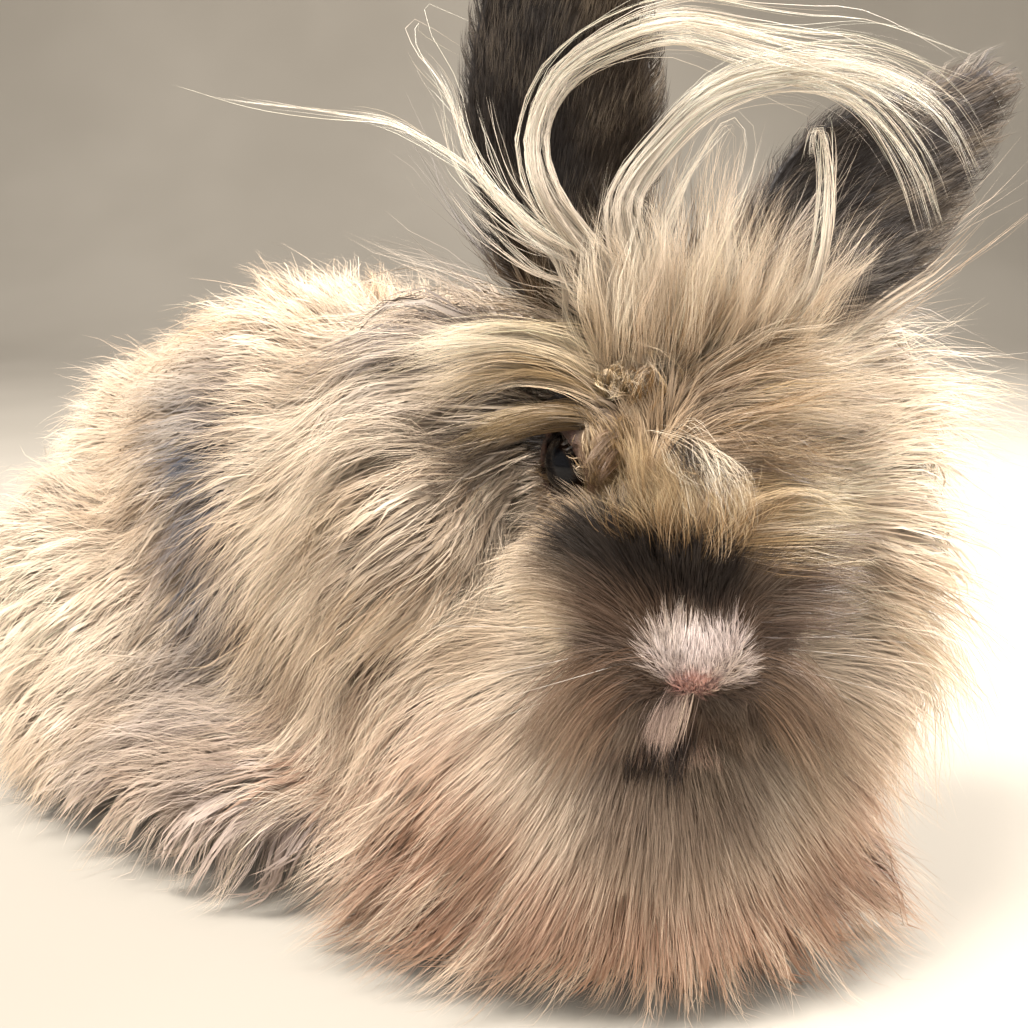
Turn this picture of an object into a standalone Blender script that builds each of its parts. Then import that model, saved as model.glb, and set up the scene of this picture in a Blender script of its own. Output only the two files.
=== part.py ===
"""Lionhead rabbit at life size, sitting, as a still model.

World frame: metres, +Z up, the floor at Z 0. The body lies along Y and the
rabbit faces -Y. Its left side is +X. The head is turned to the rabbit's own
right and lowered, in a frame of its own (forward, left, up).
The solids follow the outside of the coat. Sizes below are in millimetres.
"""
import math

import bmesh
import bpy
import numpy as np
from mathutils import Matrix, Vector

for old in list(bpy.data.objects):
    bpy.data.objects.remove(old, do_unlink=True)

MM = 0.001
GAP = 0.3 * MM             # clearance between touching pieces
BELLY_CLEARANCE = 1.5      # underside of the coat above the floor, between the feet

# ---- driving dimensions, millimetres and degrees ----
HEAD_CENTRE = Vector((-2, -95, 94))    # middle of the cranium
HEAD_YAW = 37                          # to the rabbit's right
HEAD_PITCH = 30                        # nose down
HEAD_ROLL = -2
EYE_RADIUS = 7.5
EYE_PLACE = (14, 13.5, 4)               # forward, out to the side, up
EAR_LENGTH = 66
EAR_HALF_WIDTH = 18.5                  # along the curved section, at the widest
EAR_THICKNESS = 2.6
TAIL_CENTRE = (0, 130, 33)
TAIL_RADII = (17, 16, 19)
FOOT_LENGTH = 84
FOOT_X = 45
FORELEG_X = 17
PAW_Y = -88
COAT_TRIANGLES = 2050                  # of the whole coat before it is parted

# ---- frames ----


def head_basis():
    y, p, r = (math.radians(v) for v in (HEAD_YAW, HEAD_PITCH, HEAD_ROLL))
    forward = Vector((-math.sin(y) * math.cos(p), -math.cos(y) * math.cos(p), -math.sin(p)))
    left = Vector((math.cos(y), -math.sin(y), 0))
    up = forward.cross(left)
    left, up = left * math.cos(r) + up * math.sin(r), up * math.cos(r) - left * math.sin(r)
    return forward, left, up


def turned_basis():
    y = math.radians(HEAD_YAW)
    return Vector((-math.sin(y), -math.cos(y), 0)), Vector((math.cos(y), -math.sin(y), 0)), Vector((0, 0, 1))


HEAD = head_basis()
TURNED = turned_basis()
WORLD = (Vector((1, 0, 0)), Vector((0, 1, 0)), Vector((0, 0, 1)))


def in_head(forward, left, up):
    """A point given in the head's own frame, in world millimetres."""
    return HEAD_CENTRE + forward * HEAD[0] + left * HEAD[1] + up * HEAD[2]


def in_turned(forward, left, height):
    """A point under or beside the head: forward and left follow the head's turn, height is from the floor."""
    flat = HEAD_CENTRE.copy()
    flat.z = 0
    return flat + forward * TURNED[0] + left * TURNED[1] + Vector((0, 0, height))


def placed(centre, basis, radii=(1, 1, 1)):
    """Matrix that puts a unit form at centre, along basis, scaled to radii."""
    m = Matrix.Identity(4)
    for i in range(3):
        for j in range(3):
            m[j][i] = basis[i][j] * radii[i] * MM
    for j in range(3):
        m[j][3] = centre[j] * MM
    return m


# ---- collections ----
parts = bpy.data.collections.new("lionhead_rabbit")
cutters = bpy.data.collections.new("cutters")
bpy.context.scene.collection.children.link(parts)
bpy.context.scene.collection.children.link(cutters)


def material(name, colour, roughness=0.9, metallic=0.0):
    m = bpy.data.materials.new(name)
    m.use_nodes = True
    shader = m.node_tree.nodes["Principled BSDF"]
    shader.inputs["Base Color"].default_value = (*colour, 1)
    shader.inputs["Roughness"].default_value = roughness
    shader.inputs["Metallic"].default_value = metallic
    m.diffuse_color = (*colour, 1)
    return m


def make(name, mesh, where, mat=None):
    o = bpy.data.objects.new(name, mesh)
    where.objects.link(o)
    if mat is not None:
        mesh.materials.clear()
        mesh.materials.append(mat)
    return o


def evaluated_mesh(o):
    bpy.context.view_layer.update()
    graph = bpy.context.evaluated_depsgraph_get()
    return bpy.data.meshes.new_from_object(o.evaluated_get(graph), depsgraph=graph)


def bake(o):
    """Applies an object's modifiers to its mesh."""
    mesh = evaluated_mesh(o)
    o.modifiers.clear()
    old = o.data
    o.data = mesh
    bpy.data.meshes.remove(old)
    return o


def outward(bm):
    """Turns a closed mesh's faces to point out."""
    bmesh.ops.recalc_face_normals(bm, faces=bm.faces)
    bm.normal_update()
    if bm.calc_volume(signed=True) < 0:
        bmesh.ops.reverse_faces(bm, faces=bm.faces)
        bm.normal_update()


def blobs(name, forms, segments=28, rings=18):
    """Joined ellipsoids: (centre, radii, basis) each."""
    bm = bmesh.new()
    for centre, radii, basis in forms:
        bmesh.ops.create_uvsphere(bm, u_segments=segments, v_segments=rings, radius=1.0,
                                  matrix=placed(centre, basis, radii))
    mesh = bpy.data.meshes.new(name)
    bm.to_mesh(mesh)
    bm.free()
    return make(name, mesh, parts)


def fuse(o, voxel, smooth_steps, triangles, focus=None):
    """Fuses overlapping forms to one skin, evens it out and thins it to a triangle count."""
    r = o.modifiers.new("fuse", "REMESH")
    r.mode = "VOXEL"
    r.voxel_size = voxel * MM
    s = o.modifiers.new("even", "SMOOTH")
    s.factor = 0.5
    s.iterations = smooth_steps
    bake(o)
    tris = o.modifiers.new("tri", "TRIANGULATE")
    tris.min_vertices = 4
    bake(o)
    d = o.modifiers.new("thin", "DECIMATE")
    d.ratio = min(1.0, triangles / max(1, len(o.data.polygons)))
    if focus is not None:
        group = o.vertex_groups.new(name="coarse")
        for v in o.data.vertices:
            group.add([v.index], focus(v.co / MM), "REPLACE")
        d.vertex_group = "coarse"
        d.vertex_group_factor = 1.0
    bake(o)
    o.vertex_groups.clear()
    return o


def grown(o, amount, name):
    """A copy of a closed form moved outward by amount, as a cutter."""
    bm = bmesh.new()
    bm.from_mesh(o.data)
    bm.normal_update()
    shift = [v.normal.copy() for v in bm.verts]
    for v, n in zip(bm.verts, shift):
        # the step along a vertex normal that moves its flattest face by amount
        least = min([n.dot(f.normal) for f in v.link_faces] or [1.0])
        v.co += n * (amount / max(least, 0.55))
    mesh = bpy.data.meshes.new(name)
    bm.to_mesh(mesh)
    bm.free()
    c = make(name, mesh, cutters)
    c.hide_render = True
    c.display_type = "WIRE"
    return c


def box_cutter(name, low, high, basis=WORLD, origin=Vector((0, 0, 0))):
    bm = bmesh.new()
    bmesh.ops.create_cube(bm, size=1.0)
    for v in bm.verts:
        p = [low[i] + (high[i] - low[i]) * (v.co[i] + 0.5) for i in range(3)]
        v.co = (origin + p[0] * basis[0] + p[1] * basis[1] + p[2] * basis[2]) * MM
    outward(bm)
    mesh = bpy.data.meshes.new(name)
    bm.to_mesh(mesh)
    bm.free()
    c = make(name, mesh, cutters)
    c.hide_render = True
    c.display_type = "WIRE"
    return c


def ball_cutter(name, centre, radii, basis=WORLD, segments=16, rings=10):
    bm = bmesh.new()
    bmesh.ops.create_uvsphere(bm, u_segments=segments, v_segments=rings, radius=1.0,
                              matrix=placed(centre, basis, radii))
    outward(bm)
    mesh = bpy.data.meshes.new(name)
    bm.to_mesh(mesh)
    bm.free()
    c = make(name, mesh, cutters)
    c.hide_render = True
    c.display_type = "WIRE"
    return c


def biggest_piece(o):
    """Keeps the largest connected piece of a mesh and clears slivers."""
    bm = bmesh.new()
    bm.from_mesh(o.data)
    bmesh.ops.remove_doubles(bm, verts=bm.verts, dist=5e-7)
    bmesh.ops.dissolve_degenerate(bm, edges=bm.edges, dist=5e-7)
    if any(len(e.link_faces) != 2 for e in bm.edges):
        bmesh.ops.holes_fill(bm, edges=[e for e in bm.edges if len(e.link_faces) == 1], sides=6)
    bm.verts.ensure_lookup_table()
    seen, groups = set(), []
    for v in bm.verts:
        if v in seen:
            continue
        stack, group = [v], []
        seen.add(v)
        while stack:
            a = stack.pop()
            group.append(a)
            for e in a.link_edges:
                b = e.other_vert(a)
                if b not in seen:
                    seen.add(b)
                    stack.append(b)
        groups.append(group)
    if len(groups) > 1:
        def span(group):
            co = np.array([v.co for v in group])
            return float(np.prod(co.max(0) - co.min(0) + 1e-6))
        groups.sort(key=span)
        bmesh.ops.delete(bm, geom=[v for g in groups[:-1] for v in g], context="VERTS")
    bmesh.ops.triangulate(bm, faces=bm.faces)
    bm.to_mesh(o.data)
    bm.free()
    return o


def closed(o):
    bm = bmesh.new()
    bm.from_mesh(o.data)
    good = all(len(e.link_faces) == 2 for e in bm.edges)
    bm.free()
    return good


def volume(o):
    bm = bmesh.new()
    bm.from_mesh(o.data)
    v = bm.calc_volume()
    bm.free()
    return v


def boolean(o, cutter, operation, solver="EXACT"):
    b = o.modifiers.new("cut", "BOOLEAN")
    b.object = cutter
    b.operation = operation
    b.solver = solver
    bake(o)
    return biggest_piece(o)


def carve(rest, name, cutter, mat):
    """The part of rest inside cutter becomes a node, and rest loses it and a thin gap."""
    node = make(name, rest.data.copy(), parts, mat)
    boolean(node, cutter, "INTERSECT")
    before = volume(rest)
    for extra in range(8):
        # a cut that leaves the piece in place is made again with a slightly wider gap
        room = grown(cutter, GAP * (1 + 0.07 * extra), f"{name}_room_{extra}")
        trial = make("trial", rest.data.copy(), parts)
        boolean(trial, room, "DIFFERENCE")
        lost = before - volume(trial)
        good = 0.97 * volume(node) < lost < volume(node) + 0.35 * before and closed(trial)
        if good:
            old, rest.data = rest.data, trial.data
            bpy.data.objects.remove(trial)
            break
        bpy.data.objects.remove(trial)
    node.data.materials.clear()
    node.data.materials.append(mat)
    return node


def trim_floor(o, level, name):
    slab = box_cutter(name, (-400, -400, -200), (400, 400, level))
    return boolean(o, slab, "DIFFERENCE")


# ---- finishes ----
FAWN = material("coat_fawn", (0.52, 0.36, 0.22))
CREAM = material("coat_cream", (0.72, 0.58, 0.42))
BIB = material("coat_bib", (0.50, 0.34, 0.25))
GREY = material("coat_grey", (0.22, 0.20, 0.20))
FACE = material("coat_face", (0.42, 0.30, 0.21))
EYE = material("eye_dark", (0.02, 0.013, 0.01), roughness=0.08)

# ---- the whole coat as one form ----
CHEEK = 12
forms = [
    ((0, -35, 60), (50, 50, 59), WORLD),            # chest
    ((0, 15, 62), (58, 64, 61), WORLD),             # back
    ((0, 67, 50), (56, 56, 56), WORLD),             # rump
    ((-44, 50, 34), (37, 54, 40), WORLD),           # right haunch
    ((44, 50, 34), (37, 54, 40), WORLD),            # left haunch
    ((-43, 6, 14), (40, 74, 22), WORLD),            # right skirt
    ((43, 6, 14), (40, 74, 22), WORLD),             # left skirt
    ((0, 88, 22), (50, 40, 28), WORLD),             # skirt behind
    ((25, -58, 56), (33, 38, 50), WORLD),           # left shoulder, on the outside of the neck's bend
    (TAIL_CENTRE, TAIL_RADII, WORLD),               # tail
    (in_turned(-16, -34, 80), (28, 33, 45), TURNED),  # mane, right side of the head
    (in_turned(-16, 31, 82), (28, 29, 45), TURNED),   # mane, left side of the head
    (in_turned(2, -42, 66), (22, 22, 34), TURNED),    # wool below the right cheek
    (in_turned(2, 38, 66), (22, 20, 34), TURNED),     # wool below the left cheek
    (in_turned(8, -6, 36), (42, 55, 38), TURNED),     # bib
    (in_turned(8, 0, 50), (32, 50, 28), TURNED),
    (in_turned(8, -6, 16), (40, 56, 26), TURNED),
    (in_head(-8, 0, 20), (20, 24, 20), HEAD),         # wool between the ears
    (in_head(0, 0, 0), (30, 22, 22), HEAD),           # cranium
    (in_head(6, -12, 3), (12, 8, 12), HEAD),          # fur round the eyes
    (in_head(6, 12, 3), (12, 8, 12), HEAD),
    (in_head(22, 0, 4), (24, 12, 13), HEAD),          # bridge of the nose
    (in_head(32, 0, -6), (24, 15, 15), HEAD),         # muzzle
    (in_head(10, -CHEEK, -12), (20, 13, 15), HEAD),   # cheeks
    (in_head(10, CHEEK, -12), (20, 13, 15), HEAD),
    (in_head(44, -6, -8), (12, 9, 9), HEAD),          # whisker pads
    (in_head(44, 6, -8), (12, 9, 9), HEAD),
    (in_head(34, 0, -18), (14, 9, 8), HEAD),          # chin
]


def coarse_away_from_face(p):
    """How far the coat may be thinned: little on the face, more on the body."""
    near = (p - in_head(30, 0, -4)).length
    return min(1.0, max(0.85, near / 90))


coat = fuse(blobs("coat", forms), 2.4, 9, COAT_TRIANGLES, coarse_away_from_face)
trim_floor(coat, BELLY_CLEARANCE, "floor_under_coat")


# ---- pieces with a form of their own ----
def limb(name, forms_, triangles, mat):
    o = fuse(blobs(name, forms_, 18, 12), 1.6, 4, triangles)
    trim_floor(o, 0.0, name + "_floor")
    o.data.materials.clear()
    o.data.materials.append(mat)
    return o


def hind_foot(side, name):
    x = FOOT_X * side
    toe_out = 3 * side
    return limb(name, [
        ((x + toe_out, FOOT_LENGTH * -0.04, 5.6), (11, 15, 8), WORLD),
        ((x + toe_out * 0.7, FOOT_LENGTH * 0.2, 6.4), (10, 26, 9), WORLD),
        ((x, FOOT_LENGTH * 0.52, 7.4), (10, 26, 10), WORLD),
        ((x, FOOT_LENGTH * 0.76, 8.6), (10, 15, 11), WORLD),
    ], 110, CREAM)


def foreleg(side, name):
    x = FORELEG_X * side
    return limb(name, [
        ((x * 1.15, PAW_Y + 36, 50), (12, 15, 19), WORLD),
        ((x * 1.05, PAW_Y + 24, 32), (9.5, 11, 20), WORLD),
        ((x, PAW_Y + 14, 17), (8.5, 10, 15), WORLD),
        ((x, PAW_Y, 5.2), (9.5, 16, 8), WORLD),
    ], 120, CREAM)


FORWARD_OUT = {1: Vector((-0.62, -0.72, 0.10)), -1: Vector((-0.70, -0.66, 0.12))}
EAR_LINES = {
    # base, middle and tip of each ear in the head's frame
    -1: ((-13, -13, 14), (-13, -20, 45), (-20, -22, 82)),
    1: ((-13, 12, 13), (-21, 33, 33), (-34, 58, 54)),
}


def ear(side, name, mat):
    """An ear as a cupped leaf: a grid bent along its own line, then given thickness."""
    base, middle, tip = (in_head(*p) for p in EAR_LINES[side])
    bend = middle * 2 - (base + tip) / 2

    def along(t):
        return base * (1 - t) ** 2 + bend * 2 * t * (1 - t) + tip * t * t

    def tangent(t):
        return ((bend - base) * 2 * (1 - t) + (tip - bend) * 2 * t).normalized()

    bm = bmesh.new()
    rows, columns = 10, 5
    bmesh.ops.create_grid(bm, x_segments=columns, y_segments=rows, size=1.0)
    for v in bm.verts:
        s, t = v.co.x, (v.co.y + 1) / 2
        half = EAR_HALF_WIDTH * (0.50 + 0.50 * math.sin(math.pi * min(1.0, t / 0.62) / 2) ** 1.4)
        if t > 0.5:
            half *= math.sqrt(max(0.0, 1 - ((t - 0.5) / 0.505) ** 2.3))
        half = max(half, 2.2)
        curl = 1.75 - 0.95 * min(1.0, t / 0.45) - 0.2 * t
        up = tangent(t)
        facing = FORWARD_OUT[side]
        facing = (facing - up * facing.dot(up)).normalized()
        across = up.cross(facing)
        radius = half / curl
        v.co = (along(t) + across * (radius * math.sin(curl * s))
                + facing * (radius * (1 - math.cos(curl * s)) - 0.35 * radius)) * MM
    outward(bm)
    mesh = bpy.data.meshes.new(name)
    bm.to_mesh(mesh)
    bm.free()
    o = make(name, mesh, parts, mat)
    thick = o.modifiers.new("thickness", "SOLIDIFY")
    thick.thickness = EAR_THICKNESS * MM
    thick.offset = 0
    thick.use_even_offset = False
    bake(o)
    tri = o.modifiers.new("tri", "TRIANGULATE")
    tri.min_vertices = 4
    bake(o)
    o.data.materials.clear()
    o.data.materials.append(mat)
    return o


def eye(side, name):
    f, l, u = EYE_PLACE
    bm = bmesh.new()
    bmesh.ops.create_uvsphere(bm, u_segments=16, v_segments=10, radius=1.0,
                              matrix=placed(in_head(f, l * side, u), HEAD, (EYE_RADIUS,) * 3))
    outward(bm)
    mesh = bpy.data.meshes.new(name)
    bm.to_mesh(mesh)
    bm.free()
    return make(name, mesh, parts, EYE)


LOCKS = {
    # long locks of the crown as arcs: root, direction of the rise, of the fall, rise, fall, start and end radius
    "crest_lock_1": dict(root=(2, -16, 30), reach=(-33, 62, 22), rise=26, thick=2.6, tip=0.7),
    "crest_lock_2": dict(root=(2, -6, 30), reach=(-14, 52, 12), rise=22, thick=2.8, tip=0.8),
    "crest_lock_3": dict(root=(2, 13, 28), reach=(-10, 6, 26), rise=6, thick=3.0, tip=0.9),
    "crest_lock_4": dict(root=(0, -20, 26), reach=(-38, -64, 16), rise=10, thick=2.2, tip=0.7),
}


def lock(name, root, reach, rise, thick, tip, mat):
    """A long lock: an arc from root by reach, humped by rise, a tapering tube of a curve."""
    curve = bpy.data.curves.new(name, "CURVE")
    curve.dimensions = "3D"
    curve.bevel_depth = 1.0 * MM
    curve.bevel_resolution = 1
    curve.use_fill_caps = True
    spline = curve.splines.new("POLY")
    count = 9
    spline.points.add(count - 1)
    for i in range(count):
        t = i / (count - 1)
        p = [root[k] + reach[k] * (t if k else t ** 0.8) for k in range(3)]
        p[2] += rise * math.sin(math.pi * t ** 0.8)
        spline.points[i].co = (*(in_head(*p) * MM), 1)
        spline.points[i].radius = thick + (tip - thick) * t ** 0.7
    o = bpy.data.objects.new(name + "_curve", curve)
    parts.objects.link(o)
    mesh = evaluated_mesh(o)
    place = o.matrix_world.copy()
    bpy.data.objects.remove(o, do_unlink=True)
    bm = bmesh.new()
    bm.from_mesh(mesh)
    bmesh.ops.remove_doubles(bm, verts=bm.verts, dist=1e-5)
    bmesh.ops.triangulate(bm, faces=bm.faces)
    outward(bm)
    bm.to_mesh(mesh)
    bm.free()
    node = make(name, mesh, parts, mat)
    node.matrix_world = place
    return node


own = [
    hind_foot(-1, "hind_foot_right"), hind_foot(1, "hind_foot_left"),
    foreleg(-1, "foreleg_right"), foreleg(1, "foreleg_left"),
    ear(-1, "ear_right", GREY), ear(1, "ear_left", GREY),
    eye(-1, "eye_right"), eye(1, "eye_left"),
]
own += [lock(n, mat=CREAM, **v) for n, v in LOCKS.items()]
for o in own:
    room = grown(o, GAP, o.name + "_room")
    boolean(coat, room, "DIFFERENCE")

# a lock that grows beside an ear or another lock stands clear of it
names = {o.name: o for o in own}
for first, second in (("ear_right", "crest_lock_1"), ("ear_right", "crest_lock_4"), ("ear_left", "crest_lock_3"),
                      ("ear_left", "crest_lock_1"), ("ear_left", "crest_lock_2"),
                      ("crest_lock_1", "crest_lock_2"), ("crest_lock_2", "crest_lock_3"), ("crest_lock_1", "crest_lock_4"),
                      ("crest_lock_1", "crest_lock_3")):
    boolean(names[second], cutters.objects[first + "_room"], "DIFFERENCE")

# ---- the coat parted where its parts are named ----
BEHIND_HEAD = -33       # plane at the back of the mane, forward of the head's centre
NECK_LENGTH = 24
MANE_FOOT = 46          # height where the mane becomes the bib
turned_origin = in_turned(0, 0, 0)
carve(coat, "head", ball_cutter("head_region", in_head(9, 0, 6), (52, 37, 38), HEAD, 18, 12), FACE)
carve(coat, "chest_bib", box_cutter("bib_region", (BEHIND_HEAD, -150, -20), (150, 150, MANE_FOOT), TURNED, turned_origin), BIB)
carve(coat, "mane_right", box_cutter("mane_right_region", (BEHIND_HEAD, -150, MANE_FOOT - 5), (150, 0, 260), TURNED, turned_origin), FAWN)
carve(coat, "mane_left", box_cutter("mane_left_region", (BEHIND_HEAD, -5, MANE_FOOT - 5), (150, 150, 260), TURNED, turned_origin), FAWN)
carve(coat, "neck", box_cutter("neck_region", (BEHIND_HEAD - NECK_LENGTH, -150, MANE_FOOT), (BEHIND_HEAD + 5, 150, 260), TURNED, turned_origin), GREY)
carve(coat, "tail", ball_cutter("tail_region", (TAIL_CENTRE[0], TAIL_CENTRE[1] + 4, TAIL_CENTRE[2]), (24, 22, 25)), CREAM)
carve(coat, "haunch_right", ball_cutter("haunch_right_region", (-62, 56, 28), (44, 52, 50)), FAWN)
carve(coat, "haunch_left", ball_cutter("haunch_left_region", (62, 56, 28), (44, 52, 50)), FAWN)
coat.name = "trunk"
coat.data.materials.clear()
coat.data.materials.append(FAWN)

# ---- each piece gets its own origin, and all hang on one empty at the reference point ----
stand = bpy.data.objects.new("lionhead_rabbit_origin", None)
parts.objects.link(stand)
nodes = [o for o in parts.objects if o.type == "MESH"]
low, high = Vector((1e9,) * 3), Vector((-1e9,) * 3)
for o in nodes:
    o.data.transform(o.matrix_world)
    o.matrix_world = Matrix.Identity(4)
    co = np.array([v.co for v in o.data.vertices], float).reshape(-1, 3)
    lo, hi = co.min(0), co.max(0)
    low = Vector([min(low[i], lo[i]) for i in range(3)])
    high = Vector([max(high[i], hi[i]) for i in range(3)])
    middle = Vector((lo + hi) / 2)
    o.data.transform(Matrix.Translation(-middle))
    o.location = middle
    o.parent = stand
    o.data.shade_smooth()
    o.data.set_sharp_from_angle(angle=math.radians(50))
stand.location = (-(low.x + high.x) / 2, -(low.y + high.y) / 2, -low.z)
bpy.context.view_layer.update()
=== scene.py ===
"""Looks of the lionhead rabbit: one skin under the coat, the eyes, and the coat
itself as thin solid tufts that follow the lie of the wool.

Lengths in this file are millimetres in the design frame (the rabbit's body
along Y, facing -Y, its left side +X, the floor at Z 0) until a mesh is made.
The head has a frame of its own: forward, left, up.
"""
import math

import bpy
import numpy as np
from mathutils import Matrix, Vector


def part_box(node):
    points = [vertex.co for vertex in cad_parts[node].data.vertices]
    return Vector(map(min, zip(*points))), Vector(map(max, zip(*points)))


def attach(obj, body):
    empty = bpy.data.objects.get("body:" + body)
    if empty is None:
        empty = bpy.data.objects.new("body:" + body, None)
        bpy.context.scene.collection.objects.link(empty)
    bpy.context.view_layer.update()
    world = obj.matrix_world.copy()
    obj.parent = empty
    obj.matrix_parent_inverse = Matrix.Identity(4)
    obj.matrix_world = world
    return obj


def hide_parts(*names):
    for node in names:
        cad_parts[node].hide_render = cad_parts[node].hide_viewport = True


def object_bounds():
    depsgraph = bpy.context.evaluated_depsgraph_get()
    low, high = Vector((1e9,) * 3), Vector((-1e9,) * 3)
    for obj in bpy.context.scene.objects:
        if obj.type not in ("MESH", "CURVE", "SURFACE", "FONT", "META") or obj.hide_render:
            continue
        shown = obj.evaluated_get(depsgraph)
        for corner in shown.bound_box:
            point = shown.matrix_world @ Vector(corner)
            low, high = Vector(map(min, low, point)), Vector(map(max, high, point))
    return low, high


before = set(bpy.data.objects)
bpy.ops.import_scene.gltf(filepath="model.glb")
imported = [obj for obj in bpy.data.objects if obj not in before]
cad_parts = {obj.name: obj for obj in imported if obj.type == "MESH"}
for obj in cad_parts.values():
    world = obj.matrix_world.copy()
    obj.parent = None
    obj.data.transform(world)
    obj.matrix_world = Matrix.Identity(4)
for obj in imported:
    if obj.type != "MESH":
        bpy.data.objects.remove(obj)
cad_low, cad_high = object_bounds()
MM = 0.001
rng = np.random.default_rng(20)

# ------------------------------------------------------------------ frames
HEAD_CENTRE = np.array((-2.0, -95.0, 94.0))
HEAD_YAW, HEAD_PITCH, HEAD_ROLL = 37, 30, -2
EYE_PLACE = (14.0, 13.5, 4.0)
EYE_RADIUS = 7.5
NOSE = (57.0, 0.0, -3.5)


def unit(v, axis=-1):
    return v / np.maximum(np.linalg.norm(v, axis=axis, keepdims=True), 1e-9)


def head_basis():
    y, p, r = (math.radians(v) for v in (HEAD_YAW, HEAD_PITCH, HEAD_ROLL))
    forward = np.array((-math.sin(y) * math.cos(p), -math.cos(y) * math.cos(p), -math.sin(p)))
    left = np.array((math.cos(y), -math.sin(y), 0.0))
    up = np.cross(forward, left)
    left, up = left * math.cos(r) + up * math.sin(r), up * math.cos(r) - left * math.sin(r)
    return np.array((forward, left, up))


def turned_basis():
    y = math.radians(HEAD_YAW)
    return np.array(((-math.sin(y), -math.cos(y), 0), (math.cos(y), -math.sin(y), 0), (0, 0, 1.0)))


WORLD, HEAD, TURNED = np.eye(3), head_basis(), turned_basis()
TURNED_ORIGIN = HEAD_CENTRE * (1, 1, 0)


def in_head(forward, left, up):
    return HEAD_CENTRE + np.array((forward, left, up), float) @ HEAD


def in_turned(forward, left, height):
    return TURNED_ORIGIN + np.array((forward, left, height), float) @ TURNED


def to_head(p):
    return (p - HEAD_CENTRE) @ HEAD.T


def to_turned(p):
    return (p - TURNED_ORIGIN) @ TURNED.T


def smooth(low, high, x):
    t = np.clip((x - low) / (high - low), 0, 1)
    return t * t * (3 - 2 * t)


def bump_of(x, centre, width):
    """1 at centre, fading to 0 over width, without a corner."""
    return np.exp(-((x - centre) / width) ** 2)


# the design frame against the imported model's: the right eye's centre is known in both
eye_low, eye_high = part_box("eye_right")
SHIFT = np.array((eye_low + eye_high) / 2) / MM - in_head(EYE_PLACE[0], -EYE_PLACE[1], EYE_PLACE[2])


def metres(p):
    return (np.asarray(p, float) + SHIFT) * MM


# ------------------------------------------------------------------ forms of the flesh
def ellipsoid(p, centre, radii, basis):
    q = (p - centre) @ basis.T / radii
    a = np.sqrt((q * q).sum(-1))
    q /= radii
    b = np.sqrt((q * q).sum(-1))
    return a * (a - 1) / np.maximum(b, 1e-6)


def capsule(p, a, b, radius):
    a, b = np.asarray(a, float), np.asarray(b, float)
    ab = b - a
    t = np.clip(((p - a) @ ab) / (ab @ ab), 0, 1)
    return np.linalg.norm(p - a - t[:, None] * ab, axis=1) - radius


class Form:
    """One step in building the flesh: a distance, where it matters, and how it meets what is there."""

    def __init__(self, distance, low, high, blend, how="join"):
        self.distance, self.low, self.high, self.blend, self.how = distance, np.array(low), np.array(high), blend, how

    def apply(self, d, p):
        e = self.distance(p)
        if self.how == "join":
            h = np.maximum(self.blend - np.abs(d - e), 0) / self.blend
            return np.minimum(d, e) - h * h * self.blend / 4
        h = np.maximum(self.blend - np.abs(d + e), 0) / self.blend
        return np.maximum(d, -e) + h * h * self.blend / 4


def ball(centre, radii, basis=WORLD, depth=0.0, blend=8.0, how="join", floor=None):
    """An ellipsoid of flesh: the coat's radii less the coat's depth."""
    radii = np.array(radii, float) - depth
    centre = np.array(centre, float)
    reach = np.abs(basis.T) @ radii + 12

    def distance(p):
        d = ellipsoid(p, centre, radii, basis)
        return d if floor is None else np.maximum(d, floor - p[:, 2])
    return Form(distance, centre - reach, centre + reach, blend, how)


def in_head_ball(centre, radii, depth=0.0, blend=4.0, how="join", basis=HEAD):
    return ball(in_head(*centre), radii, basis, depth, blend, how)


def in_turned_ball(centre, radii, depth, blend=10.0):
    return ball(in_turned(*centre), radii, TURNED, depth, blend)


def rod(a, b, radius, blend, how="cut"):
    a, b = in_head(*a), in_head(*b)
    return Form(lambda p: capsule(p, a, b, radius), np.minimum(a, b) - radius - 5, np.maximum(a, b) + radius + 5, blend, how)


# ears: a leaf bent along its own line, cupped in cross-section
EAR_HALF_WIDTH = 15.8
EAR_SKIN = 1.7
EAR_FACING = {1: unit(np.array((-0.62, -0.72, 0.10))), -1: unit(np.array((-0.70, -0.66, 0.12)))}
EAR_LINES = {-1: ((-13, -13, 14), (-13, -20, 45), (-20, -22, 80.5)), 1: ((-13, 12, 13), (-21, 33, 33), (-33.6, 57.2, 53.3))}


def ear_line(side, t):
    base, middle, tip = (in_head(*p) for p in EAR_LINES[side])
    bend = middle * 2 - (base + tip) / 2
    t = t[:, None]
    place = base * (1 - t) ** 2 + bend * 2 * t * (1 - t) + tip * t * t
    along = unit((bend - base) * 2 * (1 - t) + (tip - bend) * 2 * t)
    facing = EAR_FACING[side] - along * (along @ EAR_FACING[side])[:, None]
    facing = unit(facing)
    return place, along, facing, np.cross(along, facing)


def ear_section(t, side):
    """Half width along the arc, and the arc's half angle."""
    half = EAR_HALF_WIDTH * (0.50 + 0.50 * np.sin(np.pi * np.minimum(1, t / 0.62) / 2) ** 1.4)
    half = np.where(t > 0.5, half * np.sqrt(np.maximum(0, 1 - np.abs((t - 0.5) / 0.505) ** 2.3)), half)
    if side > 0:      # the left ear shows its narrow tip
        half = half * (1 - 0.42 * smooth(0.52, 0.98, t))
    return np.maximum(half, 1.6), 1.75 - 0.95 * np.minimum(1, t / 0.45) - 0.2 * t


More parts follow.
